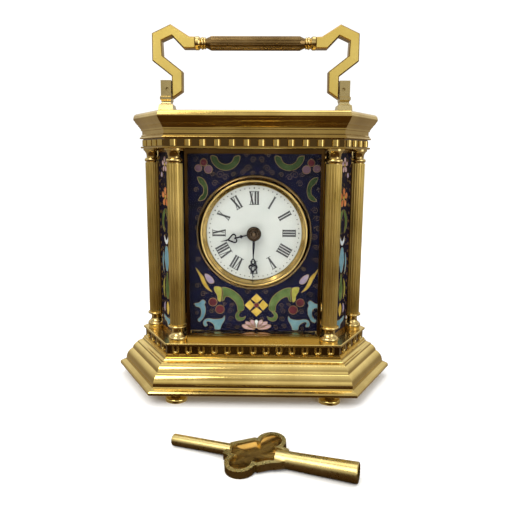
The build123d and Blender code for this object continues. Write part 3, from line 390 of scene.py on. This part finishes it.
# ---------------------------------------------------------------- studio
def add_area_light(name, place, target, size, power, colour=(1, 1, 1)):
    data = bpy.data.lights.new(name, "AREA")
    data.shape, data.size, data.size_y = "RECTANGLE", size[0], size[1]
    data.energy, data.color = power, colour
    light = bpy.data.objects.new(name, data)
    bpy.context.scene.collection.objects.link(light)
    light.location = place
    light.rotation_euler = (Vector(target) - Vector(place)).to_track_quat("-Z", "Y").to_euler()
    light.visible_camera = False


def plane(name, size, place, material):
    """Level square of the studio."""
    mesh = bpy.data.meshes.new(name)
    half = size / 2
    mesh.from_pydata([(-half, -half, 0), (half, -half, 0), (half, half, 0), (-half, half, 0)], [],
                     [(0, 1, 2, 3)])
    obj = bpy.data.objects.new(name, mesh)
    obj.location = place
    mesh.materials.append(material)
    bpy.context.scene.collection.objects.link(obj)
    return obj


def plain(name, colour, roughness):
    """Matt studio surface with barely visible clouds."""
    m = Nodes(name)
    cloud = m.noise(3.0, 2.0)
    near = tuple(c * 0.985 for c in colour)
    m.link(m.ramp(cloud, (0.3, near), (0.7, colour)), m.shader.inputs["Base Color"])
    m.set(Roughness=roughness, Specular_IOR_Level=0.0)
    return m.material


def add_ground():
    """Pale floor for the camera, and a brown table top that only polished surfaces see."""
    floor = plane("floor", 60.0, (0, 0, FLOOR_Z), plain("pale_floor", (0.94, 0.94, 0.935), 0.9))
    floor.visible_glossy = floor.visible_diffuse = False
    table = plane("reflected_table", 1.6, (0, -0.83, FLOOR_Z - 0.0002),
                  plain("brown_table", (0.072, 0.037, 0.014), 0.6))
    table.visible_camera = table.visible_shadow = table.visible_transmission = False


# Room that polished surfaces see, from below the horizon up to the ceiling
ROOM_LOWEST = -0.3
ROOM_STOPS = ((0.0, (0.32, 0.27, 0.21)), (0.17, (0.30, 0.25, 0.19)), (0.24, (0.34, 0.30, 0.24)),
              (0.34, (0.62, 0.59, 0.52)), (0.52, (1.0, 0.98, 0.93)), (0.70, (0.38, 0.35, 0.30)),
              (1.0, (0.92, 0.92, 0.92)))


def add_world():
    """White surroundings, with the room in their place for reflections."""
    world = bpy.data.worlds.new("studio")
    bpy.context.scene.world = world
    world.use_nodes = True
    nodes, link = world.node_tree.nodes, world.node_tree.links.new
    background = nodes["Background"]
    background.inputs["Color"].default_value = (1, 1, 1, 1)
    background.inputs["Strength"].default_value = 1.1

    room = nodes.new("ShaderNodeBackground")
    ramp = nodes.new("ShaderNodeValToRGB")
    split = nodes.new("ShaderNodeSeparateXYZ")
    direction = nodes.new("ShaderNodeTexCoord")
    height = nodes.new("ShaderNodeMapRange")
    height.inputs["From Min"].default_value = ROOM_LOWEST
    set_stops(ramp, ROOM_STOPS)
    link(direction.outputs["Generated"], split.inputs[0])
    link(split.outputs["Z"], height.inputs["Value"])
    link(height.outputs["Result"], ramp.inputs["Fac"])
    link(ramp.outputs["Color"], room.inputs["Color"])

    ray = nodes.new("ShaderNodeLightPath")
    mix = nodes.new("ShaderNodeMixShader")
    link(ray.outputs["Is Glossy Ray"], mix.inputs["Fac"])
    link(background.outputs[0], mix.inputs[1])
    link(room.outputs[0], mix.inputs[2])
    link(mix.outputs[0], nodes["World Output"].inputs["Surface"])


def add_lights():
    middle = (0, 0, 0.06)
    add_area_light("key_light", (-0.35, -0.55, 0.70), middle, (0.45, 0.45), 3.6, (1.0, 0.97, 0.92))
    add_area_light("fill_light", (0.6, -0.5, 0.30), middle, (0.4, 0.7), 1.6)
    add_area_light("top_light", (0.0, 0.1, 0.9), middle, (0.8, 0.5), 2.2)
    bpy.context.scene.view_settings.view_transform = "Standard"


# ---------------------------------------------------------------- flat work on a panel
class Panel:
    """A flat face of a CAD node: (u, v) in millimetres about its centre, seen from outside."""

    def __init__(self, node, centre=None):
        mesh = NODES[node].data
        low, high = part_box(node)
        middle = (low + high) / 2
        outwards = Vector((middle.x, middle.y, 0))
        if abs(middle.x) < 1 * MM:
            outwards = Vector((0, -1, 0))
        best = max((p for p in mesh.polygons if p.normal.dot(outwards) > 0), key=lambda p: p.area)
        self.normal = Vector((best.normal.x, best.normal.y, 0)).normalized()
        self.up = Vector((0, 0, 1))
        self.along = self.up.cross(self.normal)
        self.centre = centre or middle
        reach = (best.center - self.centre).dot(self.normal)
        self.centre = self.centre + self.normal * reach

    def point(self, u, v, lift):
        """Place in the frame of a point, lifted (mm) off the face."""
        return self.centre + (self.along * u + self.up * v + self.normal * lift) * MM


def smooth_loop(points, steps=6, closed=True):
    """Catmull-Rom curve through the points."""
    count = len(points)
    spans = count if closed else count - 1
    result = []
    for i in range(spans):
        if closed:
            a, b, c, d = (points[(i + k - 1) % count] for k in range(4))
        else:
            a, b, c, d = (points[min(max(i + k - 1, 0), count - 1)] for k in range(4))
        for step in range(steps):
            t = step / steps
            result.append(tuple(
                0.5 * (2 * q + (r - p) * t + (2 * p - 5 * q + 4 * r - s) * t * t
                       + (3 * q - p - 3 * r + s) * t ** 3)
                for p, q, r, s in zip(a, b, c, d)))
    if not closed:
        result.append(tuple(points[-1]))
    return result


class Flatwork:
    """Gathers raised flat shapes and wires of one panel set, one mesh for each colour."""

    def __init__(self, prefix, body):
        self.prefix, self.body, self.meshes = prefix, body, {}

    def mesh(self, colour):
        """Mesh that gathers one colour."""
        return self.meshes.setdefault(colour, bmesh.new())

    def fill(self, panel, outline, colour, lift=0.06, depth=0.12):
        """Slab with the outline's shape, its face lifted off the panel."""
        bm = self.mesh(colour)
        area = sum(a[0] * b[1] - b[0] * a[1] for a, b in zip(outline, outline[1:] + outline[:1]))
        if area < 0:
            outline = outline[::-1]
        top = [bm.verts.new(panel.point(u, v, lift)) for u, v in outline]
        low = [bm.verts.new(panel.point(u, v, lift - depth)) for u, v in outline]
        faces = [bm.faces.new(top), bm.faces.new(low[::-1])]
        count = len(outline)
        for i in range(count):
            j = (i + 1) % count
            bm.faces.new((low[i], low[j], top[j], top[i]))
        for face in faces:
            face.normal_update()
        bmesh.ops.triangulate(bm, faces=faces)

    def wire(self, panel, path, colour="wire", radius=0.08, lift=0.05, closed=True, sides=6):
        """Round wire laid along a path on the panel."""
        bm = self.mesh(colour)
        count = len(path)
        rings = []
        for i, (u, v) in enumerate(path):
            if closed:
                before, after = path[i - 1], path[(i + 1) % count]
            else:
                before, after = path[max(i - 1, 0)], path[min(i + 1, count - 1)]
            du, dv = after[0] - before[0], after[1] - before[1]
            length = (du * du + dv * dv) ** 0.5 or 1.0
            side_u, side_v = -dv / length, du / length
            ring = []
            for k in range(sides):
                angle = tau * k / sides
                across, rise = radius * cos(angle), radius * sin(angle)
                ring.append(bm.verts.new(
                    panel.point(u + side_u * across, v + side_v * across, lift + rise)))
            rings.append(ring)
        for i in range(count if closed else count - 1):
            one, two = rings[i], rings[(i + 1) % count]
            for k in range(sides):
                j = (k + 1) % sides
                bm.faces.new((one[k], one[j], two[j], two[k]))
        if not closed:
            bm.faces.new(rings[0][::-1])
            bm.faces.new(rings[-1])

    def cell(self, panel, points, colour, smooth=True, wire=0.08):
        """One enamel cell: a filled shape inside its soldered wire."""
        outline = smooth_loop(points) if smooth else list(points)
        self.fill(panel, outline, colour)
        self.wire(panel, outline, radius=wire)

    def finish(self, materials):
        """Makes one object of each colour's mesh."""
        for colour, bm in self.meshes.items():
            bmesh.ops.recalc_face_normals(bm, faces=bm.faces)
            name = f"{self.prefix}_{colour}"
            mesh = bpy.data.meshes.new(name)
            bm.to_mesh(mesh)
            bm.free()
            if colour == "wire":
                for polygon in mesh.polygons:
                    polygon.use_smooth = True
            mesh.materials.append(materials[colour])
            obj = bpy.data.objects.new(name, mesh)
            bpy.context.scene.collection.objects.link(obj)
            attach(obj, self.body)


def mirrored(points):
    return [(-u, v) for u, v in points]


def circle(u, v, radius, count=20):
    return [(u + radius * cos(tau * i / count), v + radius * sin(tau * i / count))
            for i in range(count)]


def petal(u, v, angle, length, width, start=0.0):
    """Pointed-oval petal growing from (u, v) at an angle in degrees."""
    c, s = cos(radians(angle)), sin(radians(angle))
    inner, outer = start + length * 0.35, start + length * 0.75
    shape = ((start, 0), (inner, width * 0.42), (outer, width * 0.5), (start + length, 0),
             (outer, -width * 0.5), (inner, -width * 0.42))
    return [(u + a * c - b * s, v + a * s + b * c) for a, b in shape]


def kite(u, v, angle, start, end, width):
    """Kite-shaped petal pointing away from (u, v) at an angle in degrees."""
    c, s = cos(radians(angle)), sin(radians(angle))
    middle = start + (end - start) * 0.45
    shape = ((start, 0), (middle, width), (end, 0), (middle, -width))
    return [(u + a * c - b * s, v + a * s + b * c) for a, b in shape]


SPIRAL_STEPS = 16           # for each turn
SPIRAL_CLOSING = 0.85       # share of the radius that a spiral loses on its way in


def spiral(u, v, radius, turns, start=0.0, hand=1):
    """Spiral winding in towards (u, v) from a start angle in radians."""
    steps = int(turns * SPIRAL_STEPS)
    path = []
    for i in range(steps + 1):
        reach = radius * (1 - i / steps * SPIRAL_CLOSING)
        angle = start + hand * tau * i / SPIRAL_STEPS
        path.append((u + reach * cos(angle), v + reach * sin(angle)))
    return path


# Darkest and lightest tone of each cell colour
ENAMELS = {
    "green": ((0.042, 0.075, 0.020), (0.125, 0.185, 0.055)),
    "leaf_yellow": ((0.20, 0.21, 0.03), (0.42, 0.38, 0.08)),
    "blue": ((0.085, 0.20, 0.25), (0.20, 0.35, 0.39)),
    "yellow": ((0.40, 0.26, 0.03), (0.66, 0.47, 0.10)),
    # The next two are darker copies of the green and the pink-lilac enamels for the upper cells:
    # painted shade under the cornice
    "green_painted_shade": ((0.018, 0.036, 0.012), (0.058, 0.092, 0.030)),
    "plum_painted_shade": ((0.11, 0.055, 0.075), (0.22, 0.13, 0.16)),
    "maroon": ((0.050, 0.010, 0.014), (0.15, 0.028, 0.034)),
    "pink": ((0.36, 0.22, 0.24), (0.58, 0.42, 0.43)),
    "lilac": ((0.24, 0.19, 0.28), (0.42, 0.35, 0.42)),
    "orange": ((0.40, 0.10, 0.03), (0.64, 0.24, 0.08)),
    "white": ((0.50, 0.57, 0.60), (0.74, 0.78, 0.78)),
}


def enamel_materials():
    found = {name: enamel(f"enamel_{name}", *pair) for name, pair in ENAMELS.items()}
    found["wire"] = brass("cloison_wire", (0.24, 0.15, 0.05), (0.50, 0.34, 0.13), 0.34)
    return found


# Mask pattern, (u, v) about the dial's centre; its axis stands a little right of the dial's
PATTERN_AXIS = 1.1
FLOWER_HEIGHT = -28.2
LOTUS_HEIGHT = -38.2
LOTUS_PETALS = ((90, 3.4), (63, 3.9), (117, 3.9), (38, 4.6), (142, 4.6), (18, 5.2), (162, 5.2))
MASK_SWIRL_WIRE = 0.034
MASK_SWIRL_TURNS = 1.5
MASK_SWIRL_REACH = 1.4      # radius for a size of 1
# Wire swirls of the mask's left half: (u, v, size)
MASK_SWIRLS = (
    (-13.9, 21.8, 1.1), (-11.9, 20.9, 0.9), (-21.5, 8.6, 0.9), (-22.4, 5.6, 0.8),
    (-21.6, -1.5, 0.9), (-22.3, -5.5, 0.8), (-10.2, -30.6, 0.9), (-10.0, -33.8, 0.8),
    (-3.4, -22.9, 0.8), (-17.4, -30.8, 0.8), (-9.6, -28.3, 0.7), (-22.4, -10.4, 0.8),
    (-3.6, 24.2, 1.0), (-1.6, 27.2, 0.8), (-5.4, 22.6, 0.8), (-15.8, 18.6, 0.9),
    (-22.6, 1.8, 0.8), (-16.6, 21.9, 0.7), (-22.9, 16.2, 0.7), (-17.9, -13.9, 0.7),
    (-22.8, -20.6, 0.8), (-20.6, -23.9, 0.9), (-2.2, -33.9, 0.7), (-10.8, -36.6, 0.8),
    (-7.6, -37.2, 0.7), (-12.4, -27.9, 0.6), (-17.9, -37.6, 0.6), (-23.2, -31.6, 0.6),
    (-4.0, 28.9, 0.7), (-8.9, 21.9, 0.7), (-22.9, 27.2, 0.7), (-1.7, 22.4, 0.7))


def left_motifs():
    """Cells of the mask's left half, bottom to top: (colour, points)."""
    return [
        ("blue", [(-19.8, -27.0), (-20.9, -26.2), (-22.4, -27.4), (-24.0, -27.7), (-23.5, -28.9),
                  (-22.0, -29.4), (-21.5, -31.0), (-21.8, -32.9), (-22.9, -34.2), (-22.2, -35.1),
                  (-20.7, -33.5), (-19.9, -31.4), (-19.8, -29.5), (-20.2, -28.2)]),
        ("blue", [(-20.8, -35.6), (-20.1, -34.2), (-18.6, -33.7), (-16.6, -34.0), (-14.6, -33.9),
                  (-13.2, -33.5), (-12.4, -32.5), (-12.4, -34.2), (-13.3, -35.8), (-13.9, -37.2),
                  (-14.2, -38.1), (-16.2, -38.1), (-16.5, -36.6), (-17.4, -35.5), (-18.8, -34.9),
                  (-19.6, -35.3), (-19.1, -36.5), (-20.2, -36.9)]),
        ("maroon", circle(-16.9, -27.1, 1.6, 12)),
        ("maroon", circle(-14.2, -30.0, 1.7, 12)),
        ("green", [(-13.2, -21.2), (-10.6, -21.6), (-7.9, -23.2), (-5.7, -25.6), (-4.9, -28.2),
                   (-5.1, -30.2), (-7.1, -30.6), (-7.6, -28.2), (-8.9, -26.2), (-10.8, -24.9),
                   (-12.0, -24.9), (-12.6, -26.2), (-13.4, -26.6), (-13.1, -24.8), (-13.0, -22.9)]),
        ("green", [(-7.3, -30.9), (-8.2, -32.4), (-7.7, -34.0), (-6.3, -34.6), (-4.8, -34.0),
                   (-4.2, -32.6), (-5.2, -33.2), (-6.4, -33.1), (-6.9, -32.1), (-6.0, -30.9)]),
        ("leaf_yellow", [(-16.2, -21.0), (-13.9, -21.2), (-13.5, -22.9), (-13.6, -24.8),
                         (-14.0, -26.8), (-15.0, -26.2), (-15.2, -24.4), (-16.2, -22.6)]),
        ("yellow", [(-23.4, -13.6), (-21.7, -15.6), (-20.4, -17.2), (-19.6, -19.2), (-18.3, -21.6),
                    (-17.2, -23.0), (-19.3, -21.8), (-20.9, -19.6), (-21.9, -17.0)]),
        ("lilac", [(-19.9, -16.0), (-18.3, -16.4), (-16.8, -17.9), (-16.5, -19.4), (-18.1, -19.6),
                   (-19.4, -18.1)]),
        # Upper cells take the darker green and plum copies: painted shade under the cornice
        ("green_painted_shade", [(-22.2, 20.9), (-20.1, 20.2), (-18.7, 17.6), (-18.7, 14.6), (-19.9, 12.6),
                        (-21.9, 12.1), (-21.4, 13.5), (-20.2, 14.8), (-20.2, 17.2),
                        (-21.6, 18.8)]),
        ("green_painted_shade", [(-17.2, 28.4), (-16.6, 26.2), (-14.6, 24.2), (-11.8, 23.4), (-9.0, 24.2),
                        (-7.0, 26.2), (-6.5, 28.4), (-8.4, 28.2), (-9.6, 26.4), (-11.8, 25.6),
                        (-14.0, 26.4), (-15.2, 28.2)]),
        ("plum_painted_shade", circle(-21.9, 24.2, 1.3, 12)),
        ("plum_painted_shade", circle(-18.2, 23.8, 1.5, 12)),
        ("maroon", circle(-19.9, 26.3, 1.3, 12)),
    ]


def add_mask_pattern(materials):
    """Mirrored leaves and scrolls, a flower and a lotus on the axis, swirls between them."""
    work = Flatwork("mask_enamel", "case")
    panel = Panel("dial_mask", centre=Vector((DIAL_CENTRE.x, 0, DIAL_CENTRE.z)))
    axis = PATTERN_AXIS
    for colour, points in left_motifs():
        work.cell(panel, [(axis + u, v) for u, v in points], colour)
        work.cell(panel, [(axis - u, v) for u, v in points], colour)
    for angle in (0, 90, 180, 270):
        flower_petal = kite(axis, FLOWER_HEIGHT, angle, 0.8, 4.6, 2.1)
        work.cell(panel, flower_petal, "yellow", smooth=False)
    work.cell(panel, circle(axis, FLOWER_HEIGHT, 1.0, 12), "maroon", smooth=False)
    for angle, length in LOTUS_PETALS:
        colour = "white" if angle == 90 else "pink"
        work.cell(panel, petal(axis, LOTUS_HEIGHT, angle, length, 1.7, 0.8), colour)
    for u, v, size in MASK_SWIRLS:
        reach = size * MASK_SWIRL_REACH
        left = spiral(axis + u, v, reach, MASK_SWIRL_TURNS)
        right = spiral(axis - u, v, reach, MASK_SWIRL_TURNS, pi, -1)
        for path in (left, right):
            work.wire(panel, path, radius=MASK_SWIRL_WIRE, closed=False)
    work.finish(materials)


# Side panel pattern, (u, v) about its middle line and the dial's height
FIVE_PETALS = range(18, 378, 72)
SCATTER = 90                # small wire curls between the motifs of one side panel
SCATTER_HALF_WIDTH = 5.4
SCATTER_BOTTOM, SCATTER_TOP = -36.0, 29.0
EDGE_ROWS = 22              # larger curls down each long edge
EDGE_PITCH = 3.0
EDGE_TOP = 28.0
EDGE_ACROSS = 5.9


def side_motifs():
    """Cells of one side panel, top to bottom: (colour, points)."""
    cells = [("pink", petal(0.0, 25.4, angle, 2.4, 1.7, 0.6)) for angle in FIVE_PETALS]
    cells.append(("yellow", circle(0.0, 25.4, 0.6, 10)))
    cells += [("lilac", circle(u, 21.6, 1.0, 12)) for u in (-3.4, 3.4)]
    cells += [("orange", petal(0.0, 13.2, angle, 3.0, 2.2, 0.8)) for angle in FIVE_PETALS]
    cells.append(("yellow", circle(0.0, 13.2, 0.8, 10)))
    cells.append(("white", [(-2.2, -1.4), (-1.2, -2.6), (0, -3.3), (1.2, -2.6), (2.2, -1.4),
                            (1.9, -3.8), (0, -5.0), (-1.9, -3.8)]))
    cells.append(("blue", [(-1.0, -5.9), (1.0, -5.9), (2.0, -8.0), (2.6, -10.6), (1.8, -13.2),
                           (0.8, -15.4), (-0.8, -15.4), (-1.8, -13.2), (-2.6, -10.6),
                           (-2.0, -8.0)]))
    cells.append(("green", [(-0.5, -16.4), (0.5, -16.4), (1.1, -19.0), (2.1, -22.4), (1.5, -25.4),
                            (0, -26.8), (-1.5, -25.4), (-2.1, -22.4), (-1.1, -19.0)]))
    cells.append(("yellow", [(0, -27.8), (1.5, -29.8), (1.1, -31.8), (0, -33.2), (-1.1, -31.8),
                             (-1.5, -29.8)]))
    cells.append(("blue", [(-4.6, -33.9), (-1.6, -34.4), (1.6, -34.4), (4.6, -33.9), (3.6, -35.8),
                           (1.2, -36.6), (0.6, -37.9), (-0.6, -37.9), (-1.2, -36.6),
                           (-3.6, -35.8)]))
    leaves = [
        ("green", [(0.4, 8.8), (2.6, 7.6), (4.2, 4.8), (3.6, 1.6), (1.4, -0.4), (2.0, 2.4),
                   (1.8, 5.0), (0.8, 6.8)]),
        ("blue", [(3.3, -8.0), (4.9, -10.8), (4.6, -14.2), (3.2, -16.8), (3.5, -13.6),
                  (3.4, -10.8)]),
        ("leaf_yellow", [(2.6, -18.4), (4.5, -21.2), (4.4, -24.6), (2.9, -26.8), (3.2, -23.6),
                         (3.0, -21.2)]),
        ("lilac", [(2.7, -28.4), (4.2, -29.6), (4.3, -31.4), (3.0, -32.4), (2.7, -30.4)]),
    ]
    for colour, points in leaves:
        cells += [(colour, points), (colour, mirrored(points))]
    return cells


def add_side_patterns(materials):
    """The same motifs on all four side panels, each with its own curls."""
    work = Flatwork("side_enamel", "case")
    draw = Random(7)
    for name in sorted(nodes_starting("enamel_panel_")):
        panel = Panel(name)
        panel.centre.z = DIAL_CENTRE.z
        for colour, points in side_motifs():
            work.cell(panel, points, colour, wire=0.07)
        for _ in range(SCATTER):
            u = draw.uniform(-SCATTER_HALF_WIDTH, SCATTER_HALF_WIDTH)
            v = draw.uniform(SCATTER_BOTTOM, SCATTER_TOP)
            curl = spiral(u, v, draw.uniform(0.3, 0.7), 1.0, draw.random() * tau)
            work.wire(panel, curl, radius=0.045, lift=0.02, closed=False)
        for row in range(EDGE_ROWS):
            v = EDGE_TOP - row * EDGE_PITCH
            for hand in (-1, 1):
                radius = 0.55 + 0.25 * draw.random()
                curl = spiral(hand * EDGE_ACROSS, v, radius, 1.3, draw.random() * tau, hand)
                work.wire(panel, curl, radius=0.07, closed=False)
    work.finish(materials)


# ---------------------------------------------------------------- winding key
# The bow's outline inside its rim, in millimetres about the bow's centre: an oval along the key
# and two round lobes; the key's place and directions are those of the CAD key
KEY_MIDDLE = (3.1, -66.95)
KEY_DIRECTION = atan2(-18.9, 54.6)
KEY_LEAN = atan2(1.2, 58.2)
KEY_AXIS_HEIGHT = 2.42
BOW_X = -1.4
BOW_TILT = radians(6)
BOW_OVAL = (0.9, 10.0, 4.8)         # shift along the key, half length, half width
BOW_LOBE = (2.8, 6.0, 4.6)          # centre and radius of one lobe; the other is opposite
BOW_WEB = [(9.2, 3.6), (-2.6, 6.4), (-8.9, 2.0), (-9.2, -3.6), (2.6, -6.4), (8.9, -2.0)]
BOW_RIM = 0.9
DISH_BOTTOM = -0.36                 # of the dish at its middle, about the key's axis
DISH_RISE = 1.25                    # from its middle to its edge
DISH_RINGS, DISH_SECTORS = 10, 96


def bow_reach(angle):
    """Distance from the bow's centre to the inside of its rim."""
    shift, along, across = BOW_OVAL
    c, s = cos(angle), sin(angle)
    reach = 1 / ((c / along) ** 2 + (s / across) ** 2) ** 0.5 + shift * c * abs(c)
    x, y, radius = BOW_LOBE
    for side in (-1, 1):
        forward = side * (x * c + y * s)
        gap = radius ** 2 - (x * x + y * y - forward ** 2)
        if forward > 0 and gap > 0:
            reach = max(reach, forward + gap ** 0.5)
    for (ax, ay), (bx, by) in zip(BOW_WEB, BOW_WEB[1:] + BOW_WEB[:1]):
        facing = (by - ay) * c - (bx - ax) * s
        crossing = (ax * by - ay * bx) / facing if abs(facing) > 1e-6 else 0
        u, v = crossing * c - ax, crossing * s - ay
        share = (u * (bx - ax) + v * (by - ay)) / ((bx - ax) ** 2 + (by - ay) ** 2)
        if crossing > 0 and 0 <= share <= 1:
            reach = max(reach, crossing)
    return reach - BOW_RIM


def key_bow_place():
    """Matrix from the bow, in millimetres, to the frame."""
    x, y = KEY_MIDDLE
    return (Matrix.Translation((x * MM, y * MM, KEY_AXIS_HEIGHT * MM + FLOOR_Z))
            @ Matrix.Rotation(KEY_DIRECTION, 4, "Z") @ Matrix.Rotation(-KEY_LEAN, 4, "Y")
            @ Matrix.Translation((BOW_X * MM, 0, 0)) @ Matrix.Rotation(BOW_TILT, 4, "X")
            @ Matrix.Scale(MM, 4))


def add_key_dish(material):
    """Smooth hollow of the bow, darker than its rim."""
    place = key_bow_place()
    bm = bmesh.new()
    middle = bm.verts.new(place @ Vector((0, 0, DISH_BOTTOM)))
    before = None
    for ring in range(1, DISH_RINGS + 1):
        share = ring / DISH_RINGS
        height = DISH_BOTTOM + DISH_RISE * share ** 3
        row = []
        for i in range(DISH_SECTORS):
            angle = tau * i / DISH_SECTORS
            reach = bow_reach(angle) * share
            spot = Vector((reach * cos(angle), reach * sin(angle), height))
            row.append(bm.verts.new(place @ spot))
        for i in range(DISH_SECTORS):
            j = (i + 1) % DISH_SECTORS
            if before:
                bm.faces.new((before[i], row[i], row[j], before[j]))
            else:
                bm.faces.new((middle, row[i], row[j]))
        before = row
    mesh = bpy.data.meshes.new("key_bow_dish")
    bm.to_mesh(mesh)
    bm.free()
    for polygon in mesh.polygons:
        polygon.use_smooth = True
    mesh.materials.append(material)
    dish = bpy.data.objects.new("key_bow_dish", mesh)
    bpy.context.scene.collection.objects.link(dish)
    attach(dish, "key")


# ---------------------------------------------------------------- dial printing
NUMERAL_INNER, NUMERAL_OUTER = 10.7, 15.8
THICK, THIN = 0.70, 0.26
NUMERALS = ("XII", "I", "II", "III", "IIII", "V", "VI", "VII", "VIII", "IX", "X", "XI")
GLYPH_WIDTH = {"I": 0.98, "V": 1.95, "X": 1.85}
GLYPH_SIDE_SPACE = 0.35
SERIF_HEIGHT = 0.045                # share of a numeral's height
SERIF_WIDTH = 0.96                  # share of a letter's width
MINUTE_RADIUS = 16.95
MINUTE_DOT, HOUR_DOT = 0.22, 0.29
DIAL_RADIUS = 17.8
DIAL_DOME = 0.25
PRINT_DEPTH = 0.1
PRINT_LIFT = 0.05


def glyph_strokes(letter, x):
    """Strokes of one letter as ((x0, y0), (x1, y1), width), its middle at x, 0 to 1 high."""
    if letter == "I":
        return [((x, 0), (x, 1), THICK)]
    half = GLYPH_WIDTH[letter] / 2 - GLYPH_SIDE_SPACE
    if letter == "V":
        return [((x - half, 1), (x, 0), THICK), ((x + half, 1), (x, 0), THIN)]
    return [((x - half, 1), (x + half, 0), THICK), ((x + half, 1), (x - half, 0), THIN)]


def about_dial(x, radius, clock_angle):
    """Point at a radius on the dial, x to the side of the line towards a clock angle."""
    a = radians(clock_angle)
    return (radius * sin(a) + x * cos(a), radius * cos(a) - x * sin(a))


def print_lift(radius):
    """Height of the print over the dial's edge, which follows the dial's slight dome."""
    return DIAL_DOME * (1 - radius / DIAL_RADIUS) + PRINT_LIFT


def numeral_bars(text):
    """Strokes and serifs of a numeral: (one end, other end, width), x in mm, y 0 to 1."""
    bars = []
    x = -sum(GLYPH_WIDTH[letter] for letter in text) / 2
    for letter in text:
        width = GLYPH_WIDTH[letter]
        x += width / 2
        bars += glyph_strokes(letter, x)
        for end, edge in ((0.0, SERIF_HEIGHT), (1.0, 1.0 - SERIF_HEIGHT)):
            bars.append(((x, end), (x, edge), width * SERIF_WIDTH))
        x += width / 2
    return bars


def add_dial_print(material):
    """Roman numerals standing radially, minute dots, larger dots at the hours."""
    work = Flatwork("dial_print", "case")
    panel = Panel("dial", centre=DIAL_CENTRE.copy())
    panel.centre.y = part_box("dial")[0].y + DIAL_DOME * MM
    panel.normal, panel.along = Vector((0, -1, 0)), Vector((1, 0, 0))

    def fill(outline, radius):
        work.fill(panel, outline, "ink", lift=print_lift(radius), depth=PRINT_DEPTH)

    for hour, text in enumerate(NUMERALS):
        for (ax, ay), (bx, by), width in numeral_bars(text):
            half = width / 2
            corners = [(ax - half, ay), (ax + half, ay), (bx + half, by), (bx - half, by)]
            fill([about_dial(x, NUMERAL_INNER + y * (NUMERAL_OUTER - NUMERAL_INNER), hour * 30)
                  for x, y in corners], NUMERAL_INNER)
    for minute in range(60):
        u, v = about_dial(0, MINUTE_RADIUS, minute * 6)
        fill(circle(u, v, MINUTE_DOT if minute % 5 else HOUR_DOT, 10), MINUTE_RADIUS)
    work.finish({"ink": material})


def ink():
    """Fired black printing, a little uneven."""
    m = Nodes("dial_ink")
    m.link(m.ramp(m.noise(800.0), (0.3, (0.012, 0.012, 0.014)), (0.75, (0.07, 0.07, 0.075))),
           m.shader.inputs["Base Color"])
    m.link(m.levels(m.noise(500.0), 0.25, 0.5), m.shader.inputs["Roughness"])
    return m.material


# ---------------------------------------------------------------- all together
add_camera()
dress_case()
dress_handle_and_key()
dress_movement()
dress_face()
dress_glass()
add_ground()
add_world()
add_lights()
ENAMEL_MATERIALS = enamel_materials()
ENAMEL_SLOTS = {name: "cloisonne_enamel" for name in ENAMELS}
ENAMEL_SLOTS["wire"] = "polished_brass"
add_mask_pattern(ENAMEL_MATERIALS)
add_side_patterns(ENAMEL_MATERIALS)
add_dial_print(ink())
add_key_dish(brass("dish_brass", (0.13, 0.068, 0.014), (0.42, 0.25, 0.06), 0.2, grain=400.0))
